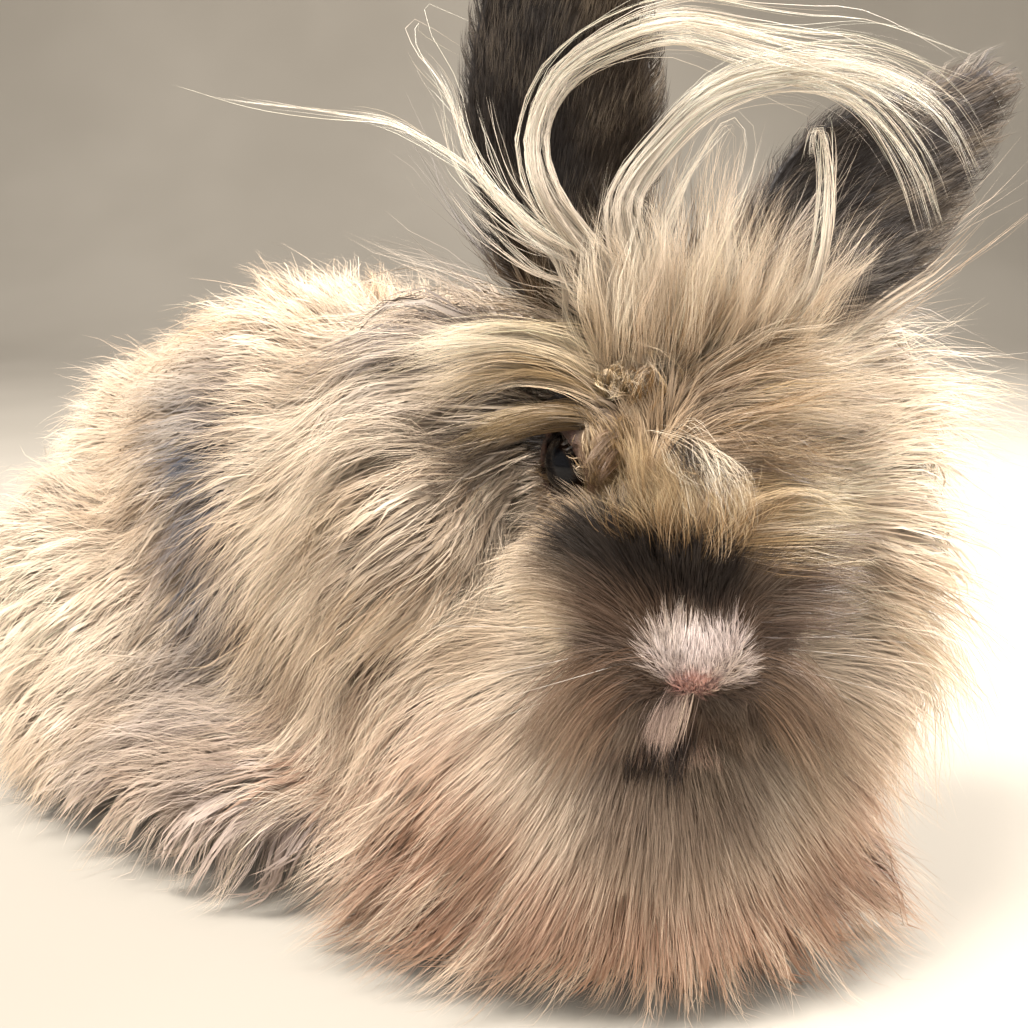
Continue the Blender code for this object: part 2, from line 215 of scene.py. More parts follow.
def ear_place(p, side):
    """Where points are on an ear: share of its length, share of its half width, distance from its middle surface, signed side."""
    ts = np.linspace(0, 1, 26)
    line = ear_line(side, ts)[0]
    d2 = ((p[:, None, :] - line[None]) ** 2).sum(-1)
    t = ts[d2.argmin(1)]
    for _ in range(3):
        place, along, _, _ = ear_line(side, t)
        step = ((p - place) * along).sum(1) / 72.0
        t = np.clip(t + step, 0, 1)
    place, along, facing, across = ear_line(side, t)
    half, curl = ear_section(t, side)
    q = p - place
    u, w, v = (q * across).sum(1), (q * facing).sum(1), (q * along).sum(1)
    r = half / curl
    cu, cw = u, w - 0.65 * r
    rho = np.hypot(cu, cw)
    phi = np.arctan2(cu, -cw)
    clipped = np.clip(phi, -curl, curl)
    eu, ew = r * np.sin(clipped), -r * np.cos(clipped)
    flat = np.where(np.abs(phi) < curl, rho - r, np.hypot(cu - eu, cw - ew))
    return t, phi / curl, np.hypot(flat, v), np.where(np.abs(phi) < curl, rho - r, 0.0), along, facing, across


def ear_distance(side):
    def distance(p):
        t, s, d, _, _, _, _ = ear_place(p, side)
        thick = EAR_SKIN * (1 + 1.3 * (1 - smooth(0, 0.2, t))) * (1 - 0.35 * smooth(0.7, 1.0, np.abs(s)))
        return d - thick / 2 - 0.15
    return distance


def ear_form(side):
    line = ear_line(side, np.linspace(0, 1, 8))[0]
    return Form(ear_distance(side), line.min(0) - 24, line.max(0) + 24, 2.5)


# eyes: the ball, its lids and the almond between them
def eye_basis(side):
    """The eye's axis, forward along the lids, and up across them."""
    axis = unit(np.array((0.50, 0.86 * side, 0.10)) @ HEAD)
    ahead = np.array((0.86, -0.50 * side, -0.16)) @ HEAD
    ahead = unit(ahead - axis * (ahead @ axis))
    return axis, ahead, np.cross(axis, ahead) * side


def eye_centre(side):
    return in_head(EYE_PLACE[0], EYE_PLACE[1] * side, EYE_PLACE[2])


def lid_opening(side):
    axis, ahead, up = eye_basis(side)
    centre = eye_centre(side)
    if (up @ HEAD[2]) < 0:
        up = -up

    def distance(p):
        q = p - centre
        x, y, z = q @ ahead, q @ up, q @ axis
        wide, high = 7.0, 5.9
        r = (wide ** 2 + high ** 2) / (2 * high)
        almond = np.maximum(np.hypot(x, y - (high - r)), np.hypot(x, y + (high - r))) - r
        return np.maximum(almond, -z)
    return Form(distance, centre - 14, centre + 14, 0.8, "cut")


def eye_cut(side):
    return ball(eye_centre(side), (EYE_RADIUS + 0.12,) * 3, WORLD, 0, 0.5, "cut")


FORMS = [
    # trunk
    ball((0, -35, 60), (50, 50, 59), depth=13),
    ball((0, 15, 62), (58, 64, 61), depth=11),
    ball((0, 67, 50), (56, 56, 56), depth=11),
    ball((-44, 50, 34), (37, 54, 40), depth=10),
    ball((44, 50, 34), (37, 54, 40), depth=10),
    ball((-43, 6, 14), (40, 74, 22), depth=13.5, blend=26),
    ball((43, 6, 14), (40, 74, 22), depth=13.5, blend=26),
    ball((0, 88, 22), (50, 40, 28), depth=9),
    ball((25, -58, 56), (33, 38, 50), depth=13),
    ball((0, 130, 33), (17, 16, 19), depth=8, blend=5),
    # neck, mane and bib
    in_turned_ball((-16, -34, 80), (28, 33, 45), 13),
    in_turned_ball((-16, 31, 82), (28, 29, 45), 13),
    in_turned_ball((2, -42, 66), (22, 22, 34), 11),
    in_turned_ball((2, 38, 66), (22, 20, 34), 11),
    in_turned_ball((8, -6, 36), (42, 55, 38), 15),
    in_turned_ball((8, 0, 50), (32, 50, 28), 13),
    in_turned_ball((8, -6, 16), (40, 56, 26), 13),
    # skull
    in_head_ball((-8, 0, 20), (20, 24, 20), 9.5, blend=8),
    in_head_ball((0, 0, 0), (28, 17.5, 20), blend=6),
    in_head_ball((23, 0, 4), (24, 9.5, 10.5), blend=6),
    in_head_ball((33, 0, -6), (21, 11.5, 12), blend=5),
    in_head_ball((27, -6, -8), (21, 10, 12), blend=6),
    in_head_ball((27, 6, -8), (21, 10, 12), blend=6),
    in_head_ball((12, -10, -12), (18, 11, 13), blend=7),
    in_head_ball((12, 10, -12), (18, 11, 13), blend=7),
    in_head_ball((36, 0, -17), (14, 8, 7), blend=5),
    in_head_ball((45.5, -5.2, -8.6), (10, 6.6, 7.4), blend=3.0),
    in_head_ball((45.5, 5.2, -8.6), (10, 6.6, 7.4), blend=3.0),
    in_head_ball((50, 0, -2), (7.5, 5.2, 5.2), blend=4),
    # brow ridges and lids
    in_head_ball((13, -11, 11), (10, 5, 4), blend=5),
    in_head_ball((13, 11, 11), (10, 5, 4), blend=5),
    ball(eye_centre(-1), (8.8, 8.8, 8.8), blend=3.5),
    ball(eye_centre(1), (8.8, 8.8, 8.8), blend=3.5),
    eye_cut(-1), eye_cut(1), lid_opening(-1), lid_opening(1),
    # nostrils, the cleft below the nose and the mouth line
    rod((57.5, -1.2, -4.2), (55.5, -4.4, -1.2), 0.55, 0.8),
    rod((57.5, 1.2, -4.2), (55.5, 4.4, -1.2), 0.55, 0.8),
    rod((58, 0, -5), (56.5, 0, -13), 0.6, 1.6),
    rod((56, 0, -15), (48, -8, -16), 0.8, 1.6),
    rod((56, 0, -15), (48, 8, -16), 0.8, 1.6),
    ear_form(-1), ear_form(1),
]
FORMS.append(Form(lambda p: p[:, 2] - 5.0, (-200, -200, -20), (200, 200, 18), 3.0, "cut"))
# legs and feet, flat on the floor
for side in (-1, 1):
    x, toe = 45 * side, 3 * side
    FORMS += [
        ball((x + toe, -3.4, 5.6), (11, 15, 8), depth=1.6, blend=5, floor=0.0),
        ball((x + toe * 0.7, 16.8, 6.4), (10, 26, 9), depth=1.6, blend=5, floor=0.0),
        ball((x, 43.7, 7.4), (10, 26, 10), depth=1.6, blend=5, floor=0.0),
        ball((x, 63.8, 8.6), (10, 15, 11), depth=1.6, blend=5, floor=0.0),
    ]
    for k in (-1.15, -0.38, 0.38, 1.15):     # toes
        FORMS.append(ball((x + toe + 5.2 * k, -11.5 + 2.2 * abs(k), 4.4), (2.7, 6.5, 3.9), blend=1.2, floor=0.0))
    x = 17 * side
    FORMS += [
        ball((x * 1.15, -52, 50), (12, 15, 19), depth=2, blend=6),
        ball((x * 1.05, -64, 32), (9.5, 11, 20), depth=2, blend=6),
        ball((x, -74, 17), (8.5, 10, 15), depth=2, blend=5, floor=0.0),
        ball((x, -88, 5.2), (9.5, 16, 8), depth=1.8, blend=4, floor=0.0),
    ]
    for k in (-1.1, -0.37, 0.37, 1.1):
        FORMS.append(ball((x + 4.2 * k, -98.5 + 1.6 * abs(k), 3.9), (2.3, 5.2, 3.5), blend=1.0, floor=0.0))


def flesh(p):
    """Distance from the skin: below 0 inside it."""
    d = np.full(len(p), 40.0)
    for f in FORMS:
        near = ((p > f.low) & (p < f.high)).all(1)
        if near.any():
            d[near] = f.apply(d[near], p[near])
    return d


# ------------------------------------------------------------------ the flesh on a grid, finer round the head
def spacing(low, high, fine_low, fine_high, fine, coarse):
    a = np.arange(fine_low, low - coarse, -coarse)[:0:-1]
    b = np.arange(fine_low, fine_high, fine)
    c = np.arange(b[-1] + fine, high + coarse, coarse)
    return np.concatenate((a, b, c))


FINE = 0.8
GX = spacing(-100, 100, -58, 76, FINE, 3.0)
GY = spacing(-160, 155, -150, -48, FINE, 3.0)
GZ = spacing(-2, 184, 44, 182, FINE, 3.0)
GZ = np.unique(np.concatenate((GZ[GZ > 16], np.arange(-1.0, 16.0, 1.5))))
VALUE = np.full((len(GX), len(GY), len(GZ)), 40.0, np.float32)
for f in FORMS:
    cut = tuple(slice(max(0, np.searchsorted(g, f.low[i]) - 1), np.searchsorted(g, f.high[i]) + 1)
                for i, g in enumerate((GX, GY, GZ)))
    gx, gy, gz = GX[cut[0]], GY[cut[1]], GZ[cut[2]]
    if min(len(gx), len(gy), len(gz)) == 0:
        continue
    p = np.stack(np.meshgrid(gx, gy, gz, indexing="ij"), -1).reshape(-1, 3)
    old = VALUE[cut]
    VALUE[cut] = f.apply(old.reshape(-1).astype(float), p).reshape(old.shape)


def cell_of(p):
    out = []
    for i, g in enumerate((GX, GY, GZ)):
        k = np.clip(np.searchsorted(g, p[:, i], "right") - 1, 0, len(g) - 2)
        out.append((k, (p[:, i] - g[k]) / (g[k + 1] - g[k]), g[k + 1] - g[k]))
    return out


def height(p):
    """Distance from the skin and the direction away from it, read from the grid."""
    (i, u, hx), (j, v, hy), (k, w, hz) = cell_of(p)
    u, v, w = (np.clip(t, 0, 1) for t in (u, v, w))
    c = [[[VALUE[i + a, j + b, k + d].astype(float) for d in (0, 1)] for b in (0, 1)] for a in (0, 1)]
    xy = [[c[a][b][0] * (1 - w) + c[a][b][1] * w for b in (0, 1)] for a in (0, 1)]
    x = [xy[a][0] * (1 - v) + xy[a][1] * v for a in (0, 1)]
    value = x[0] * (1 - u) + x[1] * u
    gx = (x[1] - x[0]) / hx
    gy = ((xy[0][1] - xy[0][0]) * (1 - u) + (xy[1][1] - xy[1][0]) * u) / hy
    z0 = (c[0][0][1] - c[0][0][0]) * (1 - v) + (c[0][1][1] - c[0][1][0]) * v
    z1 = (c[1][0][1] - c[1][0][0]) * (1 - v) + (c[1][1][1] - c[1][1][0]) * v
    gz = (z0 * (1 - u) + z1 * u) / hz
    return value, unit(np.stack((gx, gy, gz), 1))


def skin_mesh():
    """The skin as quads: one point in each cell that the surface crosses, joined across each crossed grid edge."""
    inside = VALUE < 0
    count = np.zeros(tuple(n - 1 for n in VALUE.shape), np.int8)
    for a in (0, 1):
        for b in (0, 1):
            for d in (0, 1):
                count += inside[a:VALUE.shape[0] - 1 + a, b:VALUE.shape[1] - 1 + b, d:VALUE.shape[2] - 1 + d]
    mixed = (count > 0) & (count < 8)
    index = np.full(mixed.shape, -1, np.int64)
    cells = np.argwhere(mixed)
    index[mixed] = np.arange(len(cells))
    i, j, k = cells.T
    corner = {}
    for a in (0, 1):
        for b in (0, 1):
            for d in (0, 1):
                corner[a, b, d] = (np.stack((GX[i + a], GY[j + b], GZ[k + d]), 1), VALUE[i + a, j + b, k + d].astype(float))
    total, hits = np.zeros((len(cells), 3)), np.zeros(len(cells))
    keys = list(corner)
    for m in keys:
        for n in keys:
            if m < n and sum(abs(s - t) for s, t in zip(m, n)) == 1:
                (pa, va), (pb, vb) = corner[m], corner[n]
                crossed = (va < 0) != (vb < 0)
                t = np.where(crossed, va / np.where(crossed, va - vb, 1), 0)[:, None]
                total += np.where(crossed[:, None], pa + (pb - pa) * t, 0)
                hits += crossed
    points = total / hits[:, None]
    quads = []
    for axis in range(3):
        first = np.take(inside, range(inside.shape[axis] - 1), axis)
        second = np.take(inside, range(1, inside.shape[axis]), axis)
        e = np.argwhere(first != second)
        other = [n for n in range(3) if n != axis]
        e = e[(e[:, other[0]] > 0) & (e[:, other[1]] > 0)
              & (e[:, other[0]] < index.shape[other[0]]) & (e[:, other[1]] < index.shape[other[1]])]
        o0, o1 = np.zeros(3, int), np.zeros(3, int)
        o0[other[0]], o1[other[1]] = 1, 1
        q = np.stack([index[tuple(x.T)] for x in (e - o0 - o1, e - o1, e, e - o0)], 1)
        out = inside[tuple(e.T)]
        if axis == 1:
            out = ~out
        q[~out] = q[~out][:, ::-1]
        quads.append(q)
    quads = np.concatenate(quads)
    quads = quads[(quads >= 0).all(1)]
    # the points are moved onto the true surface
    for _ in range(2):
        d = flesh(points)
        g = np.stack([flesh(points + np.eye(3)[n] * 0.15) - d for n in range(3)], 1) / 0.15
        step = -d / np.maximum((g * g).sum(1), 0.25)
        points += g * np.clip(step, -0.6, 0.6)[:, None]
    used = np.unique(quads)
    remap = np.full(len(points), -1)
    remap[used] = np.arange(len(used))
    points[:, 2] = np.maximum(points[:, 2], 0.0)       # the feet's flats are on the floor
    return points[used], remap[quads]


SKIN_POINTS, SKIN_QUADS = skin_mesh()


# ------------------------------------------------------------------ where things are on the rabbit
def ear_share(p):
    """For each point: how far up an ear it is (below 0 off the ears), place across, inner side, and the ear's directions."""
    t_out = np.full(len(p), -1.0)
    s_out, w_out = np.zeros(len(p)), np.zeros(len(p))
    along_out, across_out, side_out = np.zeros((len(p), 3)), np.zeros((len(p), 3)), np.zeros(len(p))
    for side in (-1, 1):
        t, s, d, w, along, facing, across = ear_place(p, side)
        on = (d < 3.2) & (t > 0.09)
        t_out[on], s_out[on], w_out[on] = t[on], s[on], w[on]
        along_out[on], across_out[on], side_out[on] = along[on], across[on], side
    return t_out, s_out, w_out, along_out, across_out, side_out


class Spot:
    """Everything that the coat's rules ask about a set of points on the skin."""

    def __init__(self, p):
        self.p = p
        h, q = to_head(p), to_turned(p)
        self.a, self.b, self.c = h.T
        self.f, self.l, self.z = q.T
        self.nose = np.linalg.norm(h - NOSE, axis=1)
        self.eye = np.minimum(*(np.linalg.norm(p - eye_centre(s), axis=1) for s in (-1, 1)))
        self.t, self.s, self.w, self.along, self.across, self.side = ear_share(p)
        self.ear = self.t > 0
        self.foot = np.zeros(len(p))
        x = np.abs(p[:, 0])
        self.foot = np.maximum(
            smooth(16, 11, np.hypot(x - 46, np.maximum(0, np.abs(p[:, 1] - 22) - 42))) * smooth(18, 12, p[:, 2]),
            smooth(16, 12, np.hypot(x - 17, np.maximum(0, np.abs(p[:, 1] + 84) - 16))) * smooth(24, 14, p[:, 2]))
        self.tail = smooth(26, 19, np.linalg.norm((p - (0, 133, 34)), axis=1))
        # 1 on the head, mane and bib, 0 on the body behind
        self.front = smooth(-58, -38, self.f + 0.10 * (self.z - 60)) * smooth(-16, -44, p[:, 1])
        # wool between the ears that stands up
        self.crown = (smooth(15, 21, self.c) * smooth(20, 12, self.a) * smooth(-30, -18, self.a) * smooth(27, 19, np.abs(self.b))
                      * (~self.ear))


def noise(p, scale, seed):
    """Smooth random values from -1 to 1 at points, from a few crossed waves."""
    r = np.random.default_rng(seed)
    total = np.zeros(len(p))
    for n in range(6):
        k = unit(r.normal(size=3)) * (2 * np.pi / scale) * r.uniform(0.6, 1.7)
        total += np.sin(p @ k + r.uniform(0, 6.28)) * r.uniform(0.6, 1.0)
    return np.clip(total / 2.4, -1, 1)


def srgb(r, g, b):
    def one(x):
        x /= 255
        return x / 12.92 if x <= 0.04045 else ((x + 0.055) / 1.055) ** 2.4
    return np.array((one(r), one(g), one(b)))


FAWN = srgb(205, 174, 140)
CREAM = srgb(248, 227, 201)
BLOND = srgb(254, 240, 220)
GOLD = srgb(206, 164, 108)
BROWN = srgb(62, 46, 36)
TAN = srgb(156, 124, 96)
GREY = srgb(132, 129, 131)
WHITE = srgb(232, 214, 208)
PINK = srgb(222, 164, 156)
ROSE = srgb(184, 146, 122)
SLATE = srgb(47, 46, 50)
EAR_BROWN = srgb(92, 82, 72)


def beside(h, points):
    """Distance of points from a line through given places in the head's frame."""
    points = np.array(points, float)
    best = np.full(len(h), 1e9)
    for a, b in zip(points[:-1], points[1:]):
        ab = b - a
        u = np.clip(((h - a) @ ab) / (ab @ ab), 0, 1)
        best = np.minimum(best, np.linalg.norm(h - a - u[:, None] * ab, axis=1))
    return best


def over(colour, share, paint):
    share = np.clip(share, 0, 1)[:, None]
    return colour * (1 - share) + paint * share


def markings(s):
    """The coat's colour at points, as a rule of where they are."""
    p = s.p
    n1, n2, n3, n4 = noise(p, 42, 1), noise(p, 17, 2), noise(p, 27, 3), noise(p, 11, 4)
    head = s.front
    # body: fawn with cream, a grey band between the side and the haunch, greyer below
    q = p * (1, 1, 1)
    q[:, 0] = np.abs(q[:, 0])
    c = np.tile(FAWN, (len(p), 1))
    c = over(c, 0.60 + 0.5 * n3, CREAM)
    c = over(c, 0.35 * np.maximum(0, n2), TAN)
    c = over(c, 0.60 * smooth(30, 80, p[:, 1]) * (0.8 + 0.3 * n3), CREAM)
    # grey patches of the coat, and along a line high on each flank painted shade in grey-brown
    c = over(c, 0.34 * np.maximum(0, n1) + 0.55 * bump_of(beside(q, [(36, -22, 104), (40, -8, 96), (36, 6, 104)]), 0, 8), GREY * 0.8 + TAN * 0.2)
    c = over(c, 0.70 * smooth(54, 30, s.z) * smooth(34, -10, p[:, 1]) * (0.8 + 0.4 * n3), srgb(180, 162, 153))
    c = over(c, 0.97 * smooth(46, 56, q[:, 0]) * bump_of(p[:, 1], 34, 28) * bump_of(s.z, 52, 26), CREAM * 1.06)
    c = over(c, 0.95 * bump_of(beside(q, [(50, -8, 40), (46, -6, 52), (45, -4, 64), (42, -5, 78), (38, 4, 90)]), 0, 12) * (1.0 + 0.25 * n2), srgb(86, 88, 97))
    c = over(c, 0.85 * s.tail, CREAM)
    # head and mane
    head_place = to_head(p)
    h = np.tile(srgb(222, 197, 164), (len(p), 1))
    h = over(h, 0.72 + 0.50 * n3 + 0.30 * bump_of(s.c, 2, 14) * smooth(26, 45, s.nose), CREAM)
    h = over(h, 0.32 * np.maximum(0, n4) * smooth(24, 44, s.nose), TAN)
    h = over(h, 0.65 * bump_of(beside(head_place, [(0, -24, 14), (14, -26, 8), (30, -24, -4)]), 0, 6), TAN * 0.9)
    # painted light: the head's left side painted brighter than cream, as if lit from the side, over its cream wool
    left_side_painted_light = smooth(8, 24, s.b) * smooth(34, 10, s.c) * smooth(30, 44, s.nose)
    h = over(h, 0.75 * left_side_painted_light, CREAM * 1.04)
    h = over(h, 0.85 * bump_of(beside(p, [(-46, -76, 79), (-41, -84, 79), (-36, -90, 79)]), 0, 5.5), srgb(84, 68, 58))
    h = over(h, 0.55 * np.maximum(0, -n4) * smooth(32, 46, s.nose) * (s.b < 10), srgb(128, 108, 90))
    brow = smooth(7, 11, s.c) * smooth(6, 14, s.a) * smooth(-18, -8, s.b)
    h = over(h, 0.80 * brow, srgb(186, 152, 110))
    tangle = bump_of(beside(head_place, [(20, 2, 17), (27, 4, 17), (26, 16, 14), (20, 26, 11)]), 0, 8.5)
    h = over(h, 0.92 * tangle * np.clip(0.75 + 0.9 * n4, 0, 1), srgb(80, 60, 44))
    h = over(h, 0.5 * bump_of(s.c, 3, 6) * smooth(36, 26, s.a) * smooth(10, 20, s.a) * (s.b < 0), srgb(196, 164, 118))
    h = over(h, 0.75 * s.crown, CREAM)
    # the dark mask over the nose, fading into brown round the muzzle and below the mouth
    mask = beside(head_place, [(38, -10.5, 4.5), (43, -6, 7), (47, 0, 8), (42, 11, 5), (32, 22, -2)])
    h = over(h, 0.75 * smooth(15, 7, mask) * smooth(13, 9, s.c) + 0.85 * smooth(21, 12, s.nose), srgb(92, 71, 56))
    h = over(h, 0.9 * smooth(15, 8, s.nose) * smooth(-2, -6, s.c), srgb(60, 46, 38))
    # the mask's darkest band under the brow: dark brown fur, darkened further as painted shade under the brow fringe
    h = over(h, 0.98 * smooth(9.0, 4.2, mask) * smooth(12, 9.5, s.c - 0.12 * (44 - s.a)), BROWN * 0.27)
    side_brown = beside(head_place, [(53, -8, -5), (49, -13, -9), (45, -16, -15)])
    side_brown = np.minimum(side_brown, beside(head_place, [(53, 8, -5), (49, 13, -10), (45, 16, -16)]))
    h = over(h, 0.85 * smooth(6.0, 2.5, side_brown), srgb(78, 60, 48))
    h = over(h, 0.88 * smooth(40, 20, np.hypot(s.nose * 0.8, s.b * 1.1)) * smooth(-9, -16, s.c), srgb(92, 70, 56))
    h = over(h, 0.75 * bump_of(s.eye, 9.5, 3.5) * smooth(24, 17, s.a), srgb(96, 70, 50))
    # painted shade, near black, in the hollow behind the right eye
    painted_shade_behind_eye = beside(head_place, [(12, -17.5, 8), (5, -21.5, 5), (1, -24, 3)])
    h = over(h, 0.97 * smooth(11, 6.5, painted_shade_behind_eye), srgb(34, 27, 21))
    lid = beside(head_place, [(21, -13, 14), (24, -13, 8), (24, -14, 4)])
    h = over(h, 0.9 * smooth(6.5, 3.5, lid), srgb(150, 122, 84))
    under_eye = beside(head_place, [(24, -18, 0), (16, -23, -2), (10, -28, -2)])
    h = over(h, 0.6 * smooth(7, 3, under_eye), srgb(206, 172, 128))
    bib = smooth(60, 38, s.z) * smooth(26, 42, s.nose)
    side_low = smooth(-40, -48, p[:, 0]) * smooth(-64, -56, p[:, 1])
    bib = bib * (1 - side_low)
    h = over(h, 0.80 * smooth(8.5, 4.5, beside(head_place, [(44, 11, 2), (38, 17, 2), (30, 24, -2)])), srgb(84, 66, 52))
    h = over(h, 0.88 * bib + 0.35 * smooth(70, 50, s.z) * smooth(24, 40, s.nose) * smooth(46, 20, np.abs(s.l + 4)),
             srgb(168, 130, 106) * (0.96 + 0.10 * n3[:, None]))
    # painted shade in brown low on the mane's right side
    h = over(h, 0.65 * bump_of(beside(p, [(-50, -70, 62), (-50, -66, 38), (-48, -66, 20)]), 0, 13) * (0.8 + 0.5 * n4), srgb(122, 96, 78))
    nape = smooth(-2, -16, s.a) * smooth(2, 14, s.c) * smooth(58, 42, np.abs(s.b))
    h = over(h, 0.85 * nape * (0.85 + 0.3 * n2), GREY)
    h = over(h, 0.90 * bump_of(beside(head_place, [(-5, -31, 13), (-14, -37, 12), (-26, -40, 8)]), 0, 14) * (1.0 + 0.3 * n2), srgb(94, 92, 98))
    h = over(h, 0.85 * side_low * smooth(50, 28, s.z), srgb(184, 166, 157))
    # white snip
    snip = np.sqrt(((s.a - 56.5) * 1.15) ** 2 + (0.92 * s.b) ** 2 + ((s.c + 2.5) * 1.15) ** 2)
    snip = smooth(8.2, 6.6, snip + 0.5 * n4 - 1.3 * bump_of(np.abs(s.b), 4.5, 2.2)) * smooth(-0.9, 0.3, s.c + 4.9 - 0.24 * np.maximum(0, -s.b))
    h = over(h, snip, WHITE * 0.94)
    h = over(h, 0.8 * smooth(4.2, 2.2, np.linalg.norm(head_place - (57.5, -0.5, -4.2), axis=1)), PINK * 0.9)
    c = c * (1 - head[:, None]) + h * head[:, None]
    # painted shade in the hollow under the mane, before the haunch
    c = over(c, 0.85 * bump_of(beside(p, [(-55, -56, 5), (-53, -57, 13), (-50, -58, 20)]), 0, 9), srgb(66, 52, 46))
    # ears: slate, browner toward the outer edge and silvery at the left tip
    e = np.tile(SLATE, (len(p), 1))
    e = over(e, 0.25 + 0 * s.t, EAR_BROWN)
    e = over(e, smooth(-0.25, 0.65, s.s) * (0.60 + 0.35 * (s.side < 0)) + 0.20 * n2, EAR_BROWN)
    e = over(e, 0.65 * smooth(0.62, 0.92, s.t) * (s.side > 0) * smooth(0.8, -0.4, s.s), GREY * 1.1)
    e = over(e, 0.25 * (s.w > 0), GREY)
    e = over(e, 0.5 * smooth(0.30, 0.12, s.t), FAWN)
    c = np.where(s.ear[:, None], e, c)
    c = over(c, 0.85 * s.foot, CREAM * 0.95)
    return c


# ------------------------------------------------------------------ the lie of the coat
STROKES = [
    # place and direction in the head's frame, reach of the stroke in mm, strength
    ((4, -14, 20), (-0.25, -1.0, 0.0), 10, 3.0),       # forehead wool swept to the right
    ((12, -18, 15), (-0.05, -1.0, -0.1), 7, 2.5),
    ((-4, -28, 14), (-0.35, -0.95, -0.35), 12, 2.4),
    ((26, 12, 14), (0.15, 0.95, -0.20), 10, 3.0),      # brow swept over the left eye
    ((30, 2, 15), (0.30, 0.70, -0.10), 6, 2.0),
    ((14, 14, 17), (-0.10, 1.0, 0.0), 10, 2.6),
    ((8, 24, 12), (-0.1, 1.0, -0.15), 12, 2.4),
]
STROKE_PLACE = np.array([in_head(*s[0]) for s in STROKES])
STROKE_WAY = unit(np.array([s[1] for s in STROKES], float) @ HEAD)
STROKE_REACH = np.array([s[2] for s in STROKES], float)
STROKE_FORCE = np.array([s[3] for s in STROKES], float)


def flow(p):
    """The way the coat is combed at points, as unit vectors."""
    h, q = to_head(p), to_turned(p)
    a, b, c = h.T
    # away from the nose, mostly across the face and less toward the back of the head
    away = unit(np.stack(((a - 52) * 0.45, b, c + 6), 1)) @ HEAD
    nose = np.linalg.norm(h - NOSE, axis=1)
    sag = 0.95 * smooth(10, 62, nose - 0.9 * np.clip(c, 0, 30) - 12 * smooth(4, 10, c)) * smooth(26, 8, c)
    sag *= 1 - 0.45 * smooth(8, 26, b) * smooth(45, 60, q[:, 2])
    head = away + sag[:, None] * (0, 0, -1.0)
    # under the jaw the bib falls straight down
    bib = smooth(60, 40, q[:, 2]) * smooth(-46, -30, q[:, 0])
    head = unit(head) * (1 - bib)[:, None] + bib[:, None] * unit(away * (0.35, 0.35, 0) + (0, 0, -1.0))
    # wool of the crown stands up and fans out
    crown = smooth(13, 22, c) * smooth(20, 10, a) * smooth(-34, -20, a) * smooth(30, 20, np.abs(b))
    fan = unit(0.35 * HEAD[0][None] * ((a - 0) / 14)[:, None] + HEAD[1][None] * (b / 26)[:, None] + 0.9 * HEAD[2][None] + 0.25 * np.array((0, 0, 1.0)))
    head = head * (1 - crown)[:, None] + crown[:, None] * fan
    # body: backward, falling more the lower and further back it is
    fall = 0.22 + 1.05 * smooth(108, 45, p[:, 2])
    out = np.sign(p[:, 0]) * (0.25 * smooth(60, 100, p[:, 2]) + 0.75 * smooth(66, 40, p[:, 2]) * smooth(18, 30, np.abs(p[:, 0])))
    body = unit(np.stack((out, np.ones(len(p)) * (1 - 0.45 * smooth(70, 35, p[:, 2])), -fall), 1))
    behind = smooth(90, 125, p[:, 1])[:, None]
    body = unit(body * (1 - behind) + behind * np.array((0, 0.35, -1.0)))
    swirl = noise(p, 60, 11)[:, None] * 0.30
    body = unit(body + swirl * np.cross(body, unit(p - (0, 20, 30))))
    front = (smooth(-58, -40, q[:, 0] + 0.10 * (q[:, 2] - 60)) * smooth(-16, -44, p[:, 1]))[:, None]
    way = unit(unit(head) * front + body * (1 - front))
    # strokes of the comb on the head
    d2 = ((p[:, None] - STROKE_PLACE[None]) ** 2).sum(-1)
    w = STROKE_FORCE * np.exp(-d2 / STROKE_REACH ** 2)
    way = unit(way + w @ STROKE_WAY)
    # hair of the upper lip hangs
    lip = smooth(40, 46, a) * smooth(-6, -10, c)
    return unit(way * (1 - 0.8 * lip[:, None]) + 0.8 * lip[:, None] * unit(0.45 * HEAD[0] + 0.05 * b[:, None] * HEAD[1] + (0, 0, -1.0)))


def coat_length(s):
    """Length of the wool in mm."""
    side = np.interp(s.nose, (0, 4, 8, 13, 20, 30, 42, 56, 78, 110), (1.8, 2.8, 5.0, 10, 15, 19, 24, 32, 44, 50))
    bridge = np.interp(s.nose, (0, 4, 8, 13, 20, 30, 42, 56, 78, 110), (1.8, 2.6, 4.2, 5.5, 6.5, 9, 18, 30, 44, 50))
    top = smooth(1, 7, s.c) * smooth(17, 10, np.abs(s.b))
    d = side * (1 - top) + bridge * top
    body = 27 + 4 * noise(s.p, 50, 21) - 7 * smooth(45, 62, np.abs(s.p[:, 0])) * smooth(0, 60, s.p[:, 1]) - 5 * smooth(30, 8, s.z)
    d = d + 8 * smooth(12, 30, s.b) * smooth(28, 42, s.nose) * smooth(40, 55, s.z)
    length = d * s.front + body * (1 - s.front)
    length = length * (1 - s.crown) + 25 * s.crown
    fringe = smooth(7, 13, s.c) * smooth(4, 12, s.a) * smooth(33, 27, s.a) * smooth(-8, 0, s.b) * smooth(34, 26, s.b)
    length = length * (1 - fringe) + 17 * fringe
    length *= np.where(s.b < 0, 0.16 + 0.84 * smooth(9.5, 19, s.eye), 0.4 + 0.6 * smooth(8.5, 15, s.eye))
    length = length * (1 - s.tail) + 15 * s.tail
    length = length * (1 - s.foot) + 4.5 * s.foot
    under = smooth(-0.4, -0.8, s.n[:, 2]) * smooth(20, 10, s.z)
    length = length * (1 - under) + 6 * under
    inner = s.w <= 0
    ear = np.where(inner, 6.0, 6.5) + 9 * smooth(0.35, 0.12, s.t) + 1.2 * smooth(0.6, 0.98, np.abs(s.s))
    return np.where(s.ear, ear, length)


